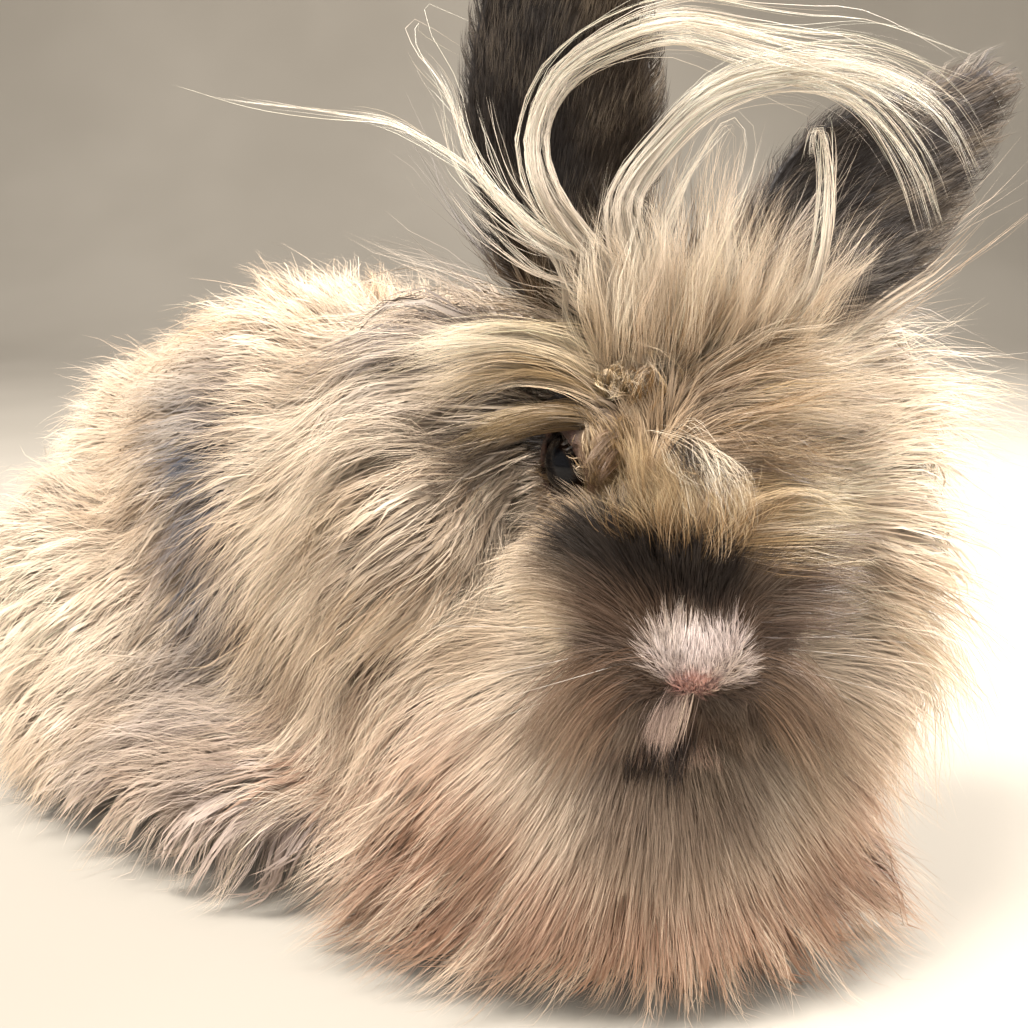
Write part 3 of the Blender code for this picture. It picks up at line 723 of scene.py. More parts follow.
def coat_depth(s):
    """How high above the skin the lying coat reaches, in mm."""
    d = np.interp(s.nose, (0, 6, 12, 20, 30, 42, 55, 70), (0.5, 1.3, 3.0, 4.8, 6.5, 8.5, 11, 13))
    depth = d * s.front + 10.5 * (1 - s.front)
    depth = depth * (1 - s.crown) + 12 * s.crown
    depth *= 0.18 + 0.82 * smooth(8.6, 17, s.eye)
    depth = depth * (1 - s.foot) + 1.3 * s.foot
    depth = np.where(s.z < 16, np.minimum(depth, 0.4 + 0.55 * s.z), depth)
    return np.where(s.ear, 1.1, depth)


# ------------------------------------------------------------------ roots on the skin
tri = np.concatenate((SKIN_QUADS[:, (0, 1, 2)], SKIN_QUADS[:, (0, 2, 3)]))
order = np.argsort(tri[:, 0], kind="stable")
tri = tri[order]
ta, tb, tc = (SKIN_POINTS[tri[:, n]] for n in range(3))
TRI_AREA = np.linalg.norm(np.cross(tb - ta, tc - ta), axis=1) / 2
TRI_MID = (ta + tb + tc) / 3
TRI_SPOT = Spot(TRI_MID)
TRI_SPOT.n = unit(np.cross(tb - ta, tc - ta))


def scatter(weight, count):
    """Roots spread evenly over the skin by weight, which is per area."""
    total = np.cumsum(np.maximum(weight, 0) * TRI_AREA)
    u = (np.arange(count) + rng.random(count)) / count * total[-1]
    f = np.minimum(np.searchsorted(total, u), len(tri) - 1)
    r1, r2 = np.sqrt(rng.random(count))[:, None], rng.random(count)[:, None]
    return ta[f] * (1 - r1) + tb[f] * (r1 * (1 - r2)) + tc[f] * (r1 * r2)


def spot_at(p):
    s = Spot(p)
    s.n = height(p)[1]
    return s


def settle(p, steps=2):
    """Points moved onto the skin."""
    for _ in range(steps):
        v, g = height(p)
        p = p - g * np.clip(v, -3, 3)[:, None]
    return p


# ------------------------------------------------------------------ growing locks
def grow(root, s, length, steps, layer, wave, stand=0.0, loose=0.0, curl_size=14.0):
    """Guide lines from roots: they rise through the coat to their layer and then run with the flow.
    loose lets the line leave the skin and hang; stand tilts it outward."""
    n0 = s.n
    depth = coat_depth(s) * layer
    x = root + n0 * 0.15
    points = [root - n0 * 0.3]
    step = length / steps
    phase = rng.uniform(0, 6.28, len(root))
    swing = rng.uniform(0.75, 1.3, len(root)) * curl_size
    last = n0
    for k in range(steps):
        t = (k + 0.5) / steps
        way = flow(x)
        if s.ear.any():
            e = s.ear
            fan = s.along[e] + s.across[e] * (0.35 * s.s[e] + 0.25)[:, None]
            way[e] = unit(fan)
        near_eye = smooth(15, 8.5, s.eye)[:, None]
        centre = np.where((s.b < 0)[:, None], eye_centre(-1), eye_centre(1))
        before = (smooth(17, 21, s.a) * smooth(17, 12, s.eye) * (s.c > -2))[:, None]
        outward = unit(unit(x - centre) * (1 - before) + before * (HEAD[2] * 1.0 - HEAD[0] * 0.25))
        way = unit(way * (1 - 0.75 * near_eye) + near_eye * outward)
        v, g = height(x)
        keep = 1 - np.clip(loose * smooth(0.15, 0.8, np.full(len(x), t)), 0, 1)
        tangent = way - g * ((way * g).sum(1) * keep)[:, None]
        tangent = unit(tangent)
        target = depth * (1 - math.exp(-3.2 * t)) / (1 - math.exp(-3.2))
        rise = np.clip((target - v) / np.maximum(step, 0.3), -0.35, 1.6)
        rise = np.where(loose > 0.5, np.maximum(rise, -0.05), rise)
        d = unit(tangent + g * (rise + stand)[:, None])
        side = np.cross(d, g)
        bend = wave * np.sin(phase + (k + 0.5) * step * 2 * np.pi / swing)
        d = unit(d + side * bend[:, None] + g * (0.4 * bend)[:, None])
        d = unit(0.45 * last + d)
        last = d
        x = x + d * step[:, None]
        v, g = height(x)
        floor_gap = np.minimum(0.25 + 0.5 * target, 2.5)
        x = x + g * np.clip(floor_gap - v, 0, 6)[:, None]
        x[:, 2] = np.maximum(x[:, 2], 0.35 + 0.3 * rng.random(len(x)))
        points.append(x)
    return np.stack(points, 1)


def strands(guides, s, children, radius, clump, frizz, even=0.25):
    """Strands round each guide line, drawing together toward its tip. Returns lines and the index of each one's guide."""
    count, rows = guides.shape[:2]
    who = np.repeat(np.arange(count), children)
    total = len(who)
    n = s.n[who]
    side = unit(np.cross(n, rng.normal(size=(total, 3))))
    r = radius[who] * np.sqrt(rng.random(total))
    root = settle(guides[who, 0] + n * 0.3 + side * r[:, None]) - n * 0.25
    scale = 1 - even * rng.random(total) ** 1.5
    t = np.linspace(0, 1, rows)
    # a shorter strand reads the guide only part of the way
    place = np.minimum(t[None] * scale[:, None], 1) * (rows - 1)
    k = np.minimum(place.astype(int), rows - 2)
    u = (place - k)[..., None]
    g = guides[who]
    line = np.take_along_axis(g, k[..., None], 1) * (1 - u) + np.take_along_axis(g, (k + 1)[..., None], 1) * u
    offset = root - guides[who, 0]
    gather = 1 - clump[who][:, None] * (t[None] ** 1.3)
    out = line + offset[:, None] * gather[..., None]
    wob = rng.normal(size=(total, 3)) * frizz[who][:, None]
    wob2 = rng.normal(size=(total, 3)) * frizz[who][:, None] * 0.5
    ph = rng.uniform(0, 6.28, total)[:, None]
    out += wob[:, None] * (t[None] ** 1.5)[..., None] + wob2[:, None] * (np.sin(ph + t[None] * 7.0) * t[None])[..., None]
    # none dips into the skin
    flat = out[:, 1:].reshape(-1, 3)
    v, gr = height(flat)
    flat = flat + gr * np.clip(0.2 - v, 0, 3)[:, None]
    flat[:, 2] = np.maximum(flat[:, 2], 0.3)
    out[:, 1:] = flat.reshape(total, rows - 1, 3)
    return out, who


# ------------------------------------------------------------------ strands to mesh
coat_pieces = []
SIGHT = unit(np.array((0.72, -0.10, 0.69)) @ HEAD)       # the wool is parted along this line before the right eye


def parted(lines):
    """Which strands leave the right eye clear: the short fur of its lids stays."""
    q = lines - eye_centre(-1)
    along = q @ SIGHT
    off_line = np.linalg.norm(q - along[..., None] * SIGHT, axis=-1)
    size = np.linalg.norm(lines[:, -1] - lines[:, 0], axis=1)
    lid = (np.linalg.norm(q[:, 0], axis=1) < 14) & (size < 5.5)
    return ~((along > 2.0) & (off_line < 4.8)).any(1) | lid


def held_in(p):
    """Design points drawn back where they would stand far out of the solids' box."""
    low, high = np.array(cad_low) / MM - SHIFT - 7, np.array(cad_high) / MM - SHIFT + 7
    p = np.where(p > high, high + 0.35 * (p - high), p)
    p = np.where(p < low, low + 0.35 * (p - low), p)
    p[..., 2] = np.maximum(p[..., 2], 0.05)
    return p


def octahedral(d):
    """Directions to a square, without seams that overlap."""
    d = d / np.abs(d).sum(1, keepdims=True)
    xy = d[:, :2].copy()
    low = d[:, 2] < 0
    sign = np.where(xy >= 0, 1.0, -1.0)
    xy[low] = (1 - np.abs(xy[low][:, ::-1])) * sign[low]
    return xy * 0.5 + 0.5


def skin_map(s):
    """A root's place on a flat unwrap of the part of the skin that it grows on: head, body and each ear apart."""
    centre = np.where((s.front > 0.5)[:, None], in_turned(-2, 0, 62), np.array((0, 35.0, 42.0)))
    uv = octahedral(unit((s.p - centre) * np.where((s.front > 0.5)[:, None], (1, 1, 0.8), (1.0, 0.62, 1.0))))
    scale = np.where(s.front > 0.5, 0.62, 0.36)
    corner = np.where((s.front > 0.5)[:, None], (0.01, 0.01), (0.635, 0.01))
    uv = corner + uv * scale[:, None]
    e = s.ear
    if e.any():
        inner = (s.w <= 0).astype(float)
        eu = 0.02 + 0.23 * (s.side > 0) + 0.5 * inner + 0.20 * (0.5 + 0.5 * np.clip(s.s, -1, 1))
        ev = 0.66 + 0.32 * np.clip(s.t, 0, 1)
        uv[e] = np.stack((eu, ev), 1)[e]
    return np.clip(uv, 0.004, 0.996)


def add_values(mesh, name, values):
    a = mesh.attributes.new(name, "FLOAT", "POINT")
    a.data.foreach_set("value", np.ascontiguousarray(values, np.float32))


def add_colours(mesh, name, colours):
    a = mesh.attributes.new(name, "FLOAT_COLOR", "POINT")
    rgba = np.ones((len(colours), 4), np.float32)
    rgba[:, :3] = colours
    a.data.foreach_set("color", rgba.ravel())


def ribbon_piece(name, lines, width, facing, tint, uv, material, taper=0.6, roll=40):
    """Flat tapering strands joined in one mesh: two points a row, one at the tip."""
    count, rows = lines.shape[:2]
    t = np.linspace(0, 1, rows)
    along = np.gradient(lines, axis=1)
    along = unit(along)
    angle = np.radians(rng.uniform(-roll, roll, count))[:, None, None]
    face = facing[:, None] - along * (facing[:, None] * along).sum(-1, keepdims=True)
    face = unit(face + 1e-4)
    side = np.cross(along, face)
    side2 = side * np.cos(angle) + face * np.sin(angle)
    half = 0.5 * width[:, None] * np.maximum(1 - t[None], 0.0) ** taper * (0.75 + 0.25 * smooth(0, 0.25, t)[None])
    left = lines[:, :-1] - side2[:, :-1] * half[:, :-1, None]
    right = lines[:, :-1] + side2[:, :-1] * half[:, :-1, None]
    per = 2 * (rows - 1) + 1
    co = np.empty((count, per, 3))
    co[:, 0:per - 1:2] = left
    co[:, 1:per - 1:2] = right
    co[:, -1] = lines[:, -1]
    co = held_in(co)
    quads = rows - 2
    base = (np.arange(count) * per)[:, None, None]
    k = np.arange(quads)[None, :, None] * 2
    quad = base + k + np.array((0, 1, 3, 2))[None, None]
    tip = (np.arange(count) * per)[:, None] + np.array((per - 3, per - 2, per - 1))[None]
    loops = np.concatenate((quad.reshape(count, -1), tip), 1).ravel()
    sizes = np.tile(np.array([4] * quads + [3]), count)
    starts = np.concatenate(((0,), np.cumsum(sizes)[:-1]))
    mesh = bpy.data.meshes.new(name)
    mesh.vertices.add(count * per)
    mesh.vertices.foreach_set("co", metres(co.reshape(-1, 3)).astype(np.float32).ravel())
    mesh.loops.add(len(loops))
    mesh.loops.foreach_set("vertex_index", loops.astype(np.int32))
    mesh.polygons.add(len(sizes))
    mesh.polygons.foreach_set("loop_start", starts.astype(np.int32))
    mesh.update(calc_edges=True)
    mesh.shade_smooth()
    row = np.concatenate((np.repeat(t[:-1], 2), (1.0,)))
    add_colours(mesh, "tint", tint.reshape(-1, 3))
    layer = mesh.uv_layers.new(name="OFBake")
    patch = 0.0030
    pu = uv[:, 0][:, None] + np.concatenate((np.tile((-0.5, 0.5), rows - 1), (0.0,)))[None] * patch
    pv = uv[:, 1][:, None] + (row - 0.5)[None] * patch
    per_loop = np.stack((pu.ravel()[loops], pv.ravel()[loops]), 1)
    layer.data.foreach_set("uv", per_loop.astype(np.float32).ravel())
    mesh.materials.append(material)
    o = bpy.data.objects.new(name, mesh)
    bpy.context.scene.collection.objects.link(o)
    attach(o, "root")
    coat_pieces.append(o)
    return o


def strand_tint(base, lock, strand, rows, roots, tips, tip_colour, contrast, dark_tips):
    """Each strand's colour from root to tip: darkened toward the root as painted shade deep in the coat, its own tone
    along, paler at the tip.
    """
    t = np.concatenate((np.repeat(np.linspace(0, 1, rows)[:-1], 2), (1.0,)))
    up = np.clip(lock * contrast, 0, 2.4)[:, None] / 2.2
    down = np.clip(-lock * contrast, 0, 2.4)[:, None] / 2.2
    pale = np.clip(base.mean(1) / 0.28, 0, 1)[:, None]      # dark fur has no cream strands
    lift, sink = (0.60, 0.70) if contrast > 2 else (0.40, 0.45)
    c = base * (1 - lift * up * pale) + CREAM * lift * up * pale
    c = c * (1 - sink * down) + c * np.array((0.54, 0.47, 0.42)) * sink * down
    c = c * np.clip(1 + 0.11 * strand[:, None], 0.6, 1.35)
    low = smooth(0.0, 0.62, t)[None, :, None]
    # painted shade toward the root, deep in the coat; roots sets its strength
    shade = np.array((0.50, 0.475, 0.47)) * roots + (1 - roots)
    out = c[:, None] * (shade * (1 - low) + low)
    bright = (pale ** 1.5)[:, None] if dark_tips else 1.0
    high = smooth(0.5, 1.0, t)[None, :, None] * tips * bright
    out = out * (1 - high) + tip_colour * high
    return np.clip(out, 0.005, 0.93)


def furnish(name, lines, who, s, width, material, slot, limit=190_000, lock_tone=None, taper=0.6, roll=40,
            roots=0.8, tips=0.35, tip_colour=CREAM, base=None, clear_eye=True, contrast=1.0, dark_tips=True):
    """Lines with their colours and unwrap, as pieces under the triangle limit."""
    rows = lines.shape[1]
    if clear_eye:
        keep = parted(lines)
        lines, who = lines[keep], who[keep]
    tris = 2 * (rows - 1) - 1
    base = (markings(s) if base is None else base)[who]
    uv_all = skin_map(s)
    total = len(lines)
    lock = 0.75 * rng.normal(size=len(s.p)) + 1.1 * noise(s.p, 8, 31) if lock_tone is None else lock_tone
    tint = strand_tint(base, lock[who], rng.normal(size=total), rows, roots, tips, tip_colour, contrast, dark_tips)
    size = max(1, limit // tris)
    parts = int(math.ceil(total / size))
    wide = width[who] * rng.uniform(0.7, 1.3, total)
    made = []
    for i in range(parts):
        pick = slice(i * total // parts, (i + 1) * total // parts)
        made.append(ribbon_piece(name if parts == 1 else f"{name}_{i + 1}", lines[pick], wide[pick], s.n[who][pick],
                                 tint[pick], uv_all[who][pick], material, taper, roll))
    return made


# ------------------------------------------------------------------ materials
def rgba(r, g, b):
    return (*srgb(r, g, b), 1.0)


class Nodes:
    """Short forms for building a material."""

    def __init__(self, name):
        self.m = bpy.data.materials.new(name)
        self.m.use_nodes = True
        self.tree = self.m.node_tree
        self.shader = self.tree.nodes["Principled BSDF"]

    def node(self, kind, **settings):
        n = self.tree.nodes.new(kind)
        for k, v in settings.items():
            setattr(n, k, v)
        return n

    def link(self, a, b):
        self.tree.links.new(a, b)

    def value(self, name):
        return self.node("ShaderNodeAttribute", attribute_name=name).outputs["Fac"]

    def mix(self, share, a, b, how="MIX"):
        n = self.node("ShaderNodeMix", data_type="RGBA", blend_type=how)
        for socket, v in ((n.inputs["Factor"], share), (n.inputs["A"], a), (n.inputs["B"], b)):
            if isinstance(v, (int, float, tuple)):
                socket.default_value = v
            else:
                self.link(v, socket)
        return n.outputs["Result"]

    def maths(self, how, a, b=0.0, clamp=False):
        n = self.node("ShaderNodeMath", operation=how, use_clamp=clamp)
        for socket, v in zip(n.inputs, (a, b)):
            if isinstance(v, (int, float)):
                socket.default_value = v
            else:
                self.link(v, socket)
        return n.outputs[0]

    def ramp(self, x, low, high, out_low=0.0, out_high=1.0):
        n = self.node("ShaderNodeMapRange", interpolation_type="SMOOTHSTEP")
        self.link(x, n.inputs["Value"])
        for key, v in (("From Min", low), ("From Max", high), ("To Min", out_low), ("To Max", out_high)):
            n.inputs[key].default_value = v
        return n.outputs["Result"]

    def noise(self, scale, detail=2.0, rough=0.5, stretch=None):
        n = self.node("ShaderNodeTexNoise")
        n.inputs["Scale"].default_value = scale
        n.inputs["Detail"].default_value = detail
        n.inputs["Roughness"].default_value = rough
        c = self.node("ShaderNodeTexCoord")
        self.link(c.outputs["Object"], n.inputs["Vector"])
        return n.outputs["Fac"]

    def bump(self, source, strength, distance):
        n = self.node("ShaderNodeBump")
        n.inputs["Strength"].default_value = strength
        n.inputs["Distance"].default_value = distance
        self.link(source, n.inputs["Height"])
        self.link(n.outputs["Normal"], self.shader.inputs["Normal"])


def coat_material(name, roughness=0.55, sheen=0.1):
    """Strands: the tint of their markings, varied by a soft blotch, with fine bumps."""
    n = Nodes(name)
    tint = n.node("ShaderNodeAttribute", attribute_name="tint").outputs["Color"]
    patch = n.noise(62, 1.0)
    c = n.mix(1.0, tint, n.mix(n.ramp(patch, 0.3, 0.7), (0.84, 0.81, 0.78, 1), (1.08, 1.08, 1.08, 1)), "MULTIPLY")
    n.link(c, n.shader.inputs["Base Color"])
    n.link(n.ramp(patch, 0.3, 0.7, roughness + 0.08, roughness - 0.06), n.shader.inputs["Roughness"])
    n.shader.inputs["Specular IOR Level"].default_value = 0.32
    n.shader.inputs["Sheen Weight"].default_value = sheen
    n.shader.inputs["Sheen Roughness"].default_value = 0.5
    n.bump(n.noise(1100, 0.0), 0.2, 0.0003)
    return n.m


def skin_material():
    n = Nodes("skin_painted_shade")
    base = n.node("ShaderNodeAttribute", attribute_name="tint").outputs["Color"]
    bare = n.value("bare")
    patch = n.noise(70, 3.0)
    # painted shade: the skin's colour darkened to about half, as the shade deep in the coat, varied by a soft blotch
    base = n.mix(1.0, base, n.mix(n.ramp(patch, 0.3, 0.7), (0.46, 0.42, 0.40, 1), (0.66, 0.62, 0.59, 1)), "MULTIPLY")
    fine = n.noise(650, 3.0, 0.65)
    base = n.mix(n.ramp(fine, 0.35, 0.7, 0.0, 0.5), base, n.mix(1.0, base, (0.6, 0.56, 0.52, 1), "MULTIPLY"))
    pink = n.mix(n.ramp(fine, 0.3, 0.7), rgba(176, 124, 112), rgba(206, 156, 142))
    lid = n.mix(n.ramp(fine, 0.3, 0.7), rgba(58, 40, 34), rgba(92, 66, 54))
    c = n.mix(bare, base, pink)
    c = n.mix(n.value("rim"), c, lid)
    n.link(c, n.shader.inputs["Base Color"])
    n.link(n.ramp(fine, 0.3, 0.7, 0.55, 0.8), n.shader.inputs["Roughness"])
    n.bump(fine, 0.6, 0.0006)
    return n.m


def eye_material():
    n = Nodes("eye_dark_brown")
    r = n.value("iris")
    streak = n.noise(900, 5.0, 0.7)
    iris = n.mix(n.ramp(streak, 0.3, 0.75), rgba(14, 9, 7), rgba(34, 22, 15))
    c = n.mix(n.ramp(r, 0.58, 0.66), (0.003, 0.003, 0.004, 1), iris)
    c = n.mix(n.ramp(r, 0.86, 0.98), c, rgba(14, 10, 9))
    c = n.mix(n.ramp(r, 1.30, 1.45), c, rgba(150, 128, 118))
    n.link(c, n.shader.inputs["Base Color"])
    n.link(n.ramp(streak, 0.3, 0.7, 0.05, 0.09), n.shader.inputs["Roughness"])
    n.shader.inputs["Specular IOR Level"].default_value = 0.22
    n.bump(n.noise(260, 2.0), 0.02, 0.0002)
    return n.m


WOOL = coat_material("wool_long", sheen=0.0)
FACE_FUR = coat_material("fur_face", roughness=0.6, sheen=0.0)
EAR_FUR = coat_material("fur_ear", roughness=0.5, sheen=0.0)
LOCK_WOOL = coat_material("wool_crest", roughness=0.42, sheen=0.0)


# ------------------------------------------------------------------ skin
def mesh_object(name, points, faces, material):
    mesh = bpy.data.meshes.new(name)
    faces = np.asarray(faces)
    mesh.vertices.add(len(points))
    mesh.vertices.foreach_set("co", metres(points).astype(np.float32).ravel())
    mesh.loops.add(faces.size)
    mesh.loops.foreach_set("vertex_index", faces.ravel().astype(np.int32))
    mesh.polygons.add(len(faces))
    mesh.polygons.foreach_set("loop_start", (np.arange(len(faces)) * faces.shape[1]).astype(np.int32))
    mesh.update(calc_edges=True)
    mesh.validate()
    mesh.shade_smooth()
    mesh.materials.append(material)
    o = bpy.data.objects.new(name, mesh)
    bpy.context.scene.collection.objects.link(o)
    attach(o, "root")
    return o


skin = mesh_object("skin", SKIN_POINTS, SKIN_QUADS, skin_material())
skin_spot = Spot(SKIN_POINTS)
add_colours(skin.data, "tint", markings(skin_spot))
nose_pad = smooth(5.0, 3.0, np.linalg.norm(to_head(SKIN_POINTS) - (57.5, 0, -4.5), axis=1))
rim = np.zeros(len(SKIN_POINTS))
corner = np.zeros(len(SKIN_POINTS))
for side in (-1, 1):
    axis, ahead, up = eye_basis(side)
    q = SKIN_POINTS - eye_centre(side)
    r = np.linalg.norm(q, axis=1)
    near = smooth(9.9, 8.9, r) * ((q @ axis) > 0.5)
    rim = np.maximum(rim, near)
    corner = np.maximum(corner, near * smooth(3.0, 6.0, q @ ahead) * smooth(4, 0, q @ HEAD[2]))
add_values(skin.data, "bare", np.clip(nose_pad + 0.3 * corner, 0, 1))
add_values(skin.data, "rim", np.clip(rim - corner, 0, 1))
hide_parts("trunk", "neck", "head", "mane_right", "mane_left", "chest_bib", "tail", "haunch_right", "haunch_left",
            "foreleg_right", "foreleg_left", "hind_foot_right", "hind_foot_left", "ear_right", "ear_left")


# ------------------------------------------------------------------ eyes
def eyeball(side, name):
    """The ball with its cornea's bulge, as rings round the eye's axis."""
    axis, ahead, up = eye_basis(side)
    rings, spokes = 48, 64
    points, faces, iris = [], [], []
    th = np.linspace(0, math.pi, rings + 1)
    for t in th:
        bulge = 0.55 * max(0.0, 1 - (t / math.radians(46)) ** 2) ** 1.5
        for k in range(spokes):
            a = 2 * math.pi * k / spokes
            d = axis * math.cos(t) + (ahead * math.cos(a) + up * math.sin(a)) * math.sin(t)
            points.append(eye_centre(side) + d * (EYE_RADIUS - 0.15 + bulge))
            iris.append(t / math.radians(50))
    for i in range(rings):
        for k in range(spokes):
            k2 = (k + 1) % spokes
            faces.append((i * spokes + k, i * spokes + k2, (i + 1) * spokes + k2, (i + 1) * spokes + k))
    o = mesh_object(name, np.array(points), np.array(faces), eye_material())
    add_values(o.data, "iris", iris)
    return o


for side, name in ((-1, "eye_right"), (1, "eye_left")):
    o = eyeball(side, name + "_ball")
    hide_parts(name)


# ------------------------------------------------------------------ the coat
def guides_of(weight, count):
    p = scatter(weight, count)
    return p, spot_at(p)


def share(n):
    return int(n * (1))


sp = TRI_SPOT
on_ear = sp.ear.astype(float)
off = 1 - on_ear
hidden = smooth(-0.5, -0.85, sp.n[:, 2]) * smooth(22, 12, sp.z)
w_face = off * smooth(46, 38, sp.nose) * sp.front
w_mane = off * smooth(36, 46, sp.nose) * sp.front * (1 - sp.foot) * (1 - 0.7 * sp.crown) * (1 - 0.8 * hidden)
w_body = off * (1 - sp.front) * (1 - sp.foot) * (1 - 0.8 * hidden)


def between(low_high, k):
    return rng.uniform(low_high[0], low_high[1], k)


def coat(name, weight, guides, children, steps, width, material, slot, length=(0.75, 1.15), layer=(0.2, 1.0), wave=(0.10, 0.2),
         stand=(0.05, 0.2), loose=0.0, curl=14, radius=(1.0, 0.0), clump=(0.3, 0.6), frizz=0.03, even=0.4, **paint):
    """One layer of the coat: guides scattered by weight, strands round each."""
    root = scatter(weight, share(guides))
    s = spot_at(root)
    k = len(root)
    size = coat_length(s) * between(length, k)
    size = np.minimum(size, 7 + 1.1 * np.maximum(s.z, 0))      # near the floor the wool hangs to it and ends there
    hang = loose * smooth(20, 60, s.nose) if loose else 0.0
    if "body" in name:      # low on the side the wool hangs clear of the skin
        hang = 0.9 * smooth(58, 34, s.z)
    if "face" in name:      # the sides of the muzzle are full: their hair leans outward
        hang = 0.75 * smooth(6, 13, s.nose) * smooth(48, 30, s.nose) * smooth(8, 2, s.c) * smooth(12, 16, s.eye)
    lines = grow(root, s, size, steps, between(layer, k), between(wave, k), stand=between(stand, k), loose=hang, curl_size=curl)
    lines, who = strands(lines, s, children, radius[0] + radius[1] * size, between(clump, k), frizz * size, even=even)
    return furnish(name, lines, who, s, width[0] + width[1] * size, material, slot, **paint)


# under each layer of fine strands lies one of broad soft tufts, close to the skin
coat("coat_face_under", w_face, 3000, 3, 3, (0.40, 0.010), FACE_FUR, "coat_face", length=(0.6, 0.9), layer=(0.1, 0.55),
     stand=(0.0, 0.1), roots=0.5, tips=0.0)
coat("coat_face", w_face * (0.6 + 1.5 * smooth(34, 12, sp.nose)), 8800, 5, 3, (0.105, 0.002), FACE_FUR, "coat_face",
     stand=(0.05, 0.30), radius=(0.5, 0.07), clump=(0.2, 0.5), roots=0.45, tips=0.22, taper=0.75)
coat("coat_mane_under", w_mane, 1300, 8, 4, (0.75, 0.0), WOOL, "coat_cream", length=(0.5, 0.8), layer=(0.05, 0.55), curl=26,
     loose=0.3, radius=(2.4, 0.0), roots=0.8, tips=0.05)
coat("coat_mane", w_mane, 3300, 13, 5, (0.135, 0.0008), WOOL, "coat_cream", length=(0.6, 1.15), layer=(0.12, 1.0), wave=(0.10, 0.24),
     stand=(0.0, 0.10), loose=0.9, curl=24, radius=(1.9, 0.02), clump=(0.45, 0.95), frizz=0.05, even=0.5, roots=0.75, tips=0.45, taper=0.7,
     contrast=2.1)
coat("coat_body_under", w_body, 1900, 6, 3, (0.85, 0.0), WOOL, "coat_fawn", length=(0.5, 0.8), layer=(0.05, 0.55), curl=20,
     radius=(2.6, 0.0), roots=0.8, tips=0.05)
coat("coat_body", w_body, 3600, 12, 4, (0.19, 0.0), WOOL, "coat_fawn", length=(0.55, 1.15), layer=(0.12, 1.0), wave=(0.2, 0.5),
     stand=(0.05, 0.45), curl=16, radius=(2.2, 0.0), clump=(0.3, 0.8), frizz=0.09, even=0.5, roots=0.55, tips=0.45, taper=0.7,
     contrast=0.8)
coat("coat_ears", on_ear, 7600, 4, 2, (0.12, 0.0), EAR_FUR, "coat_grey", length=(0.7, 1.25), layer=(0.3, 1.0), wave=(0.05, 0.08),
     stand=(0.02, 0.08), radius=(0.7, 0.0), clump=(0.2, 0.6), even=0.4, roots=0.4, tips=0.2, tip_colour=GREY, contrast=2.2, dark_tips=False)
coat("coat_feet", sp.foot * off * (1 - 0.9 * hidden), 2500, 4, 2, (0.22, 0.0), FACE_FUR, "coat_cream", layer=(0.3, 1.0),
     wave=(0.05, 0.08), radius=(0.8, 0.0), roots=0.4, tips=0.2)


# ------------------------------------------------------------------ tufts combed on the head
def tone(*rgb):
    return srgb(*rgb)


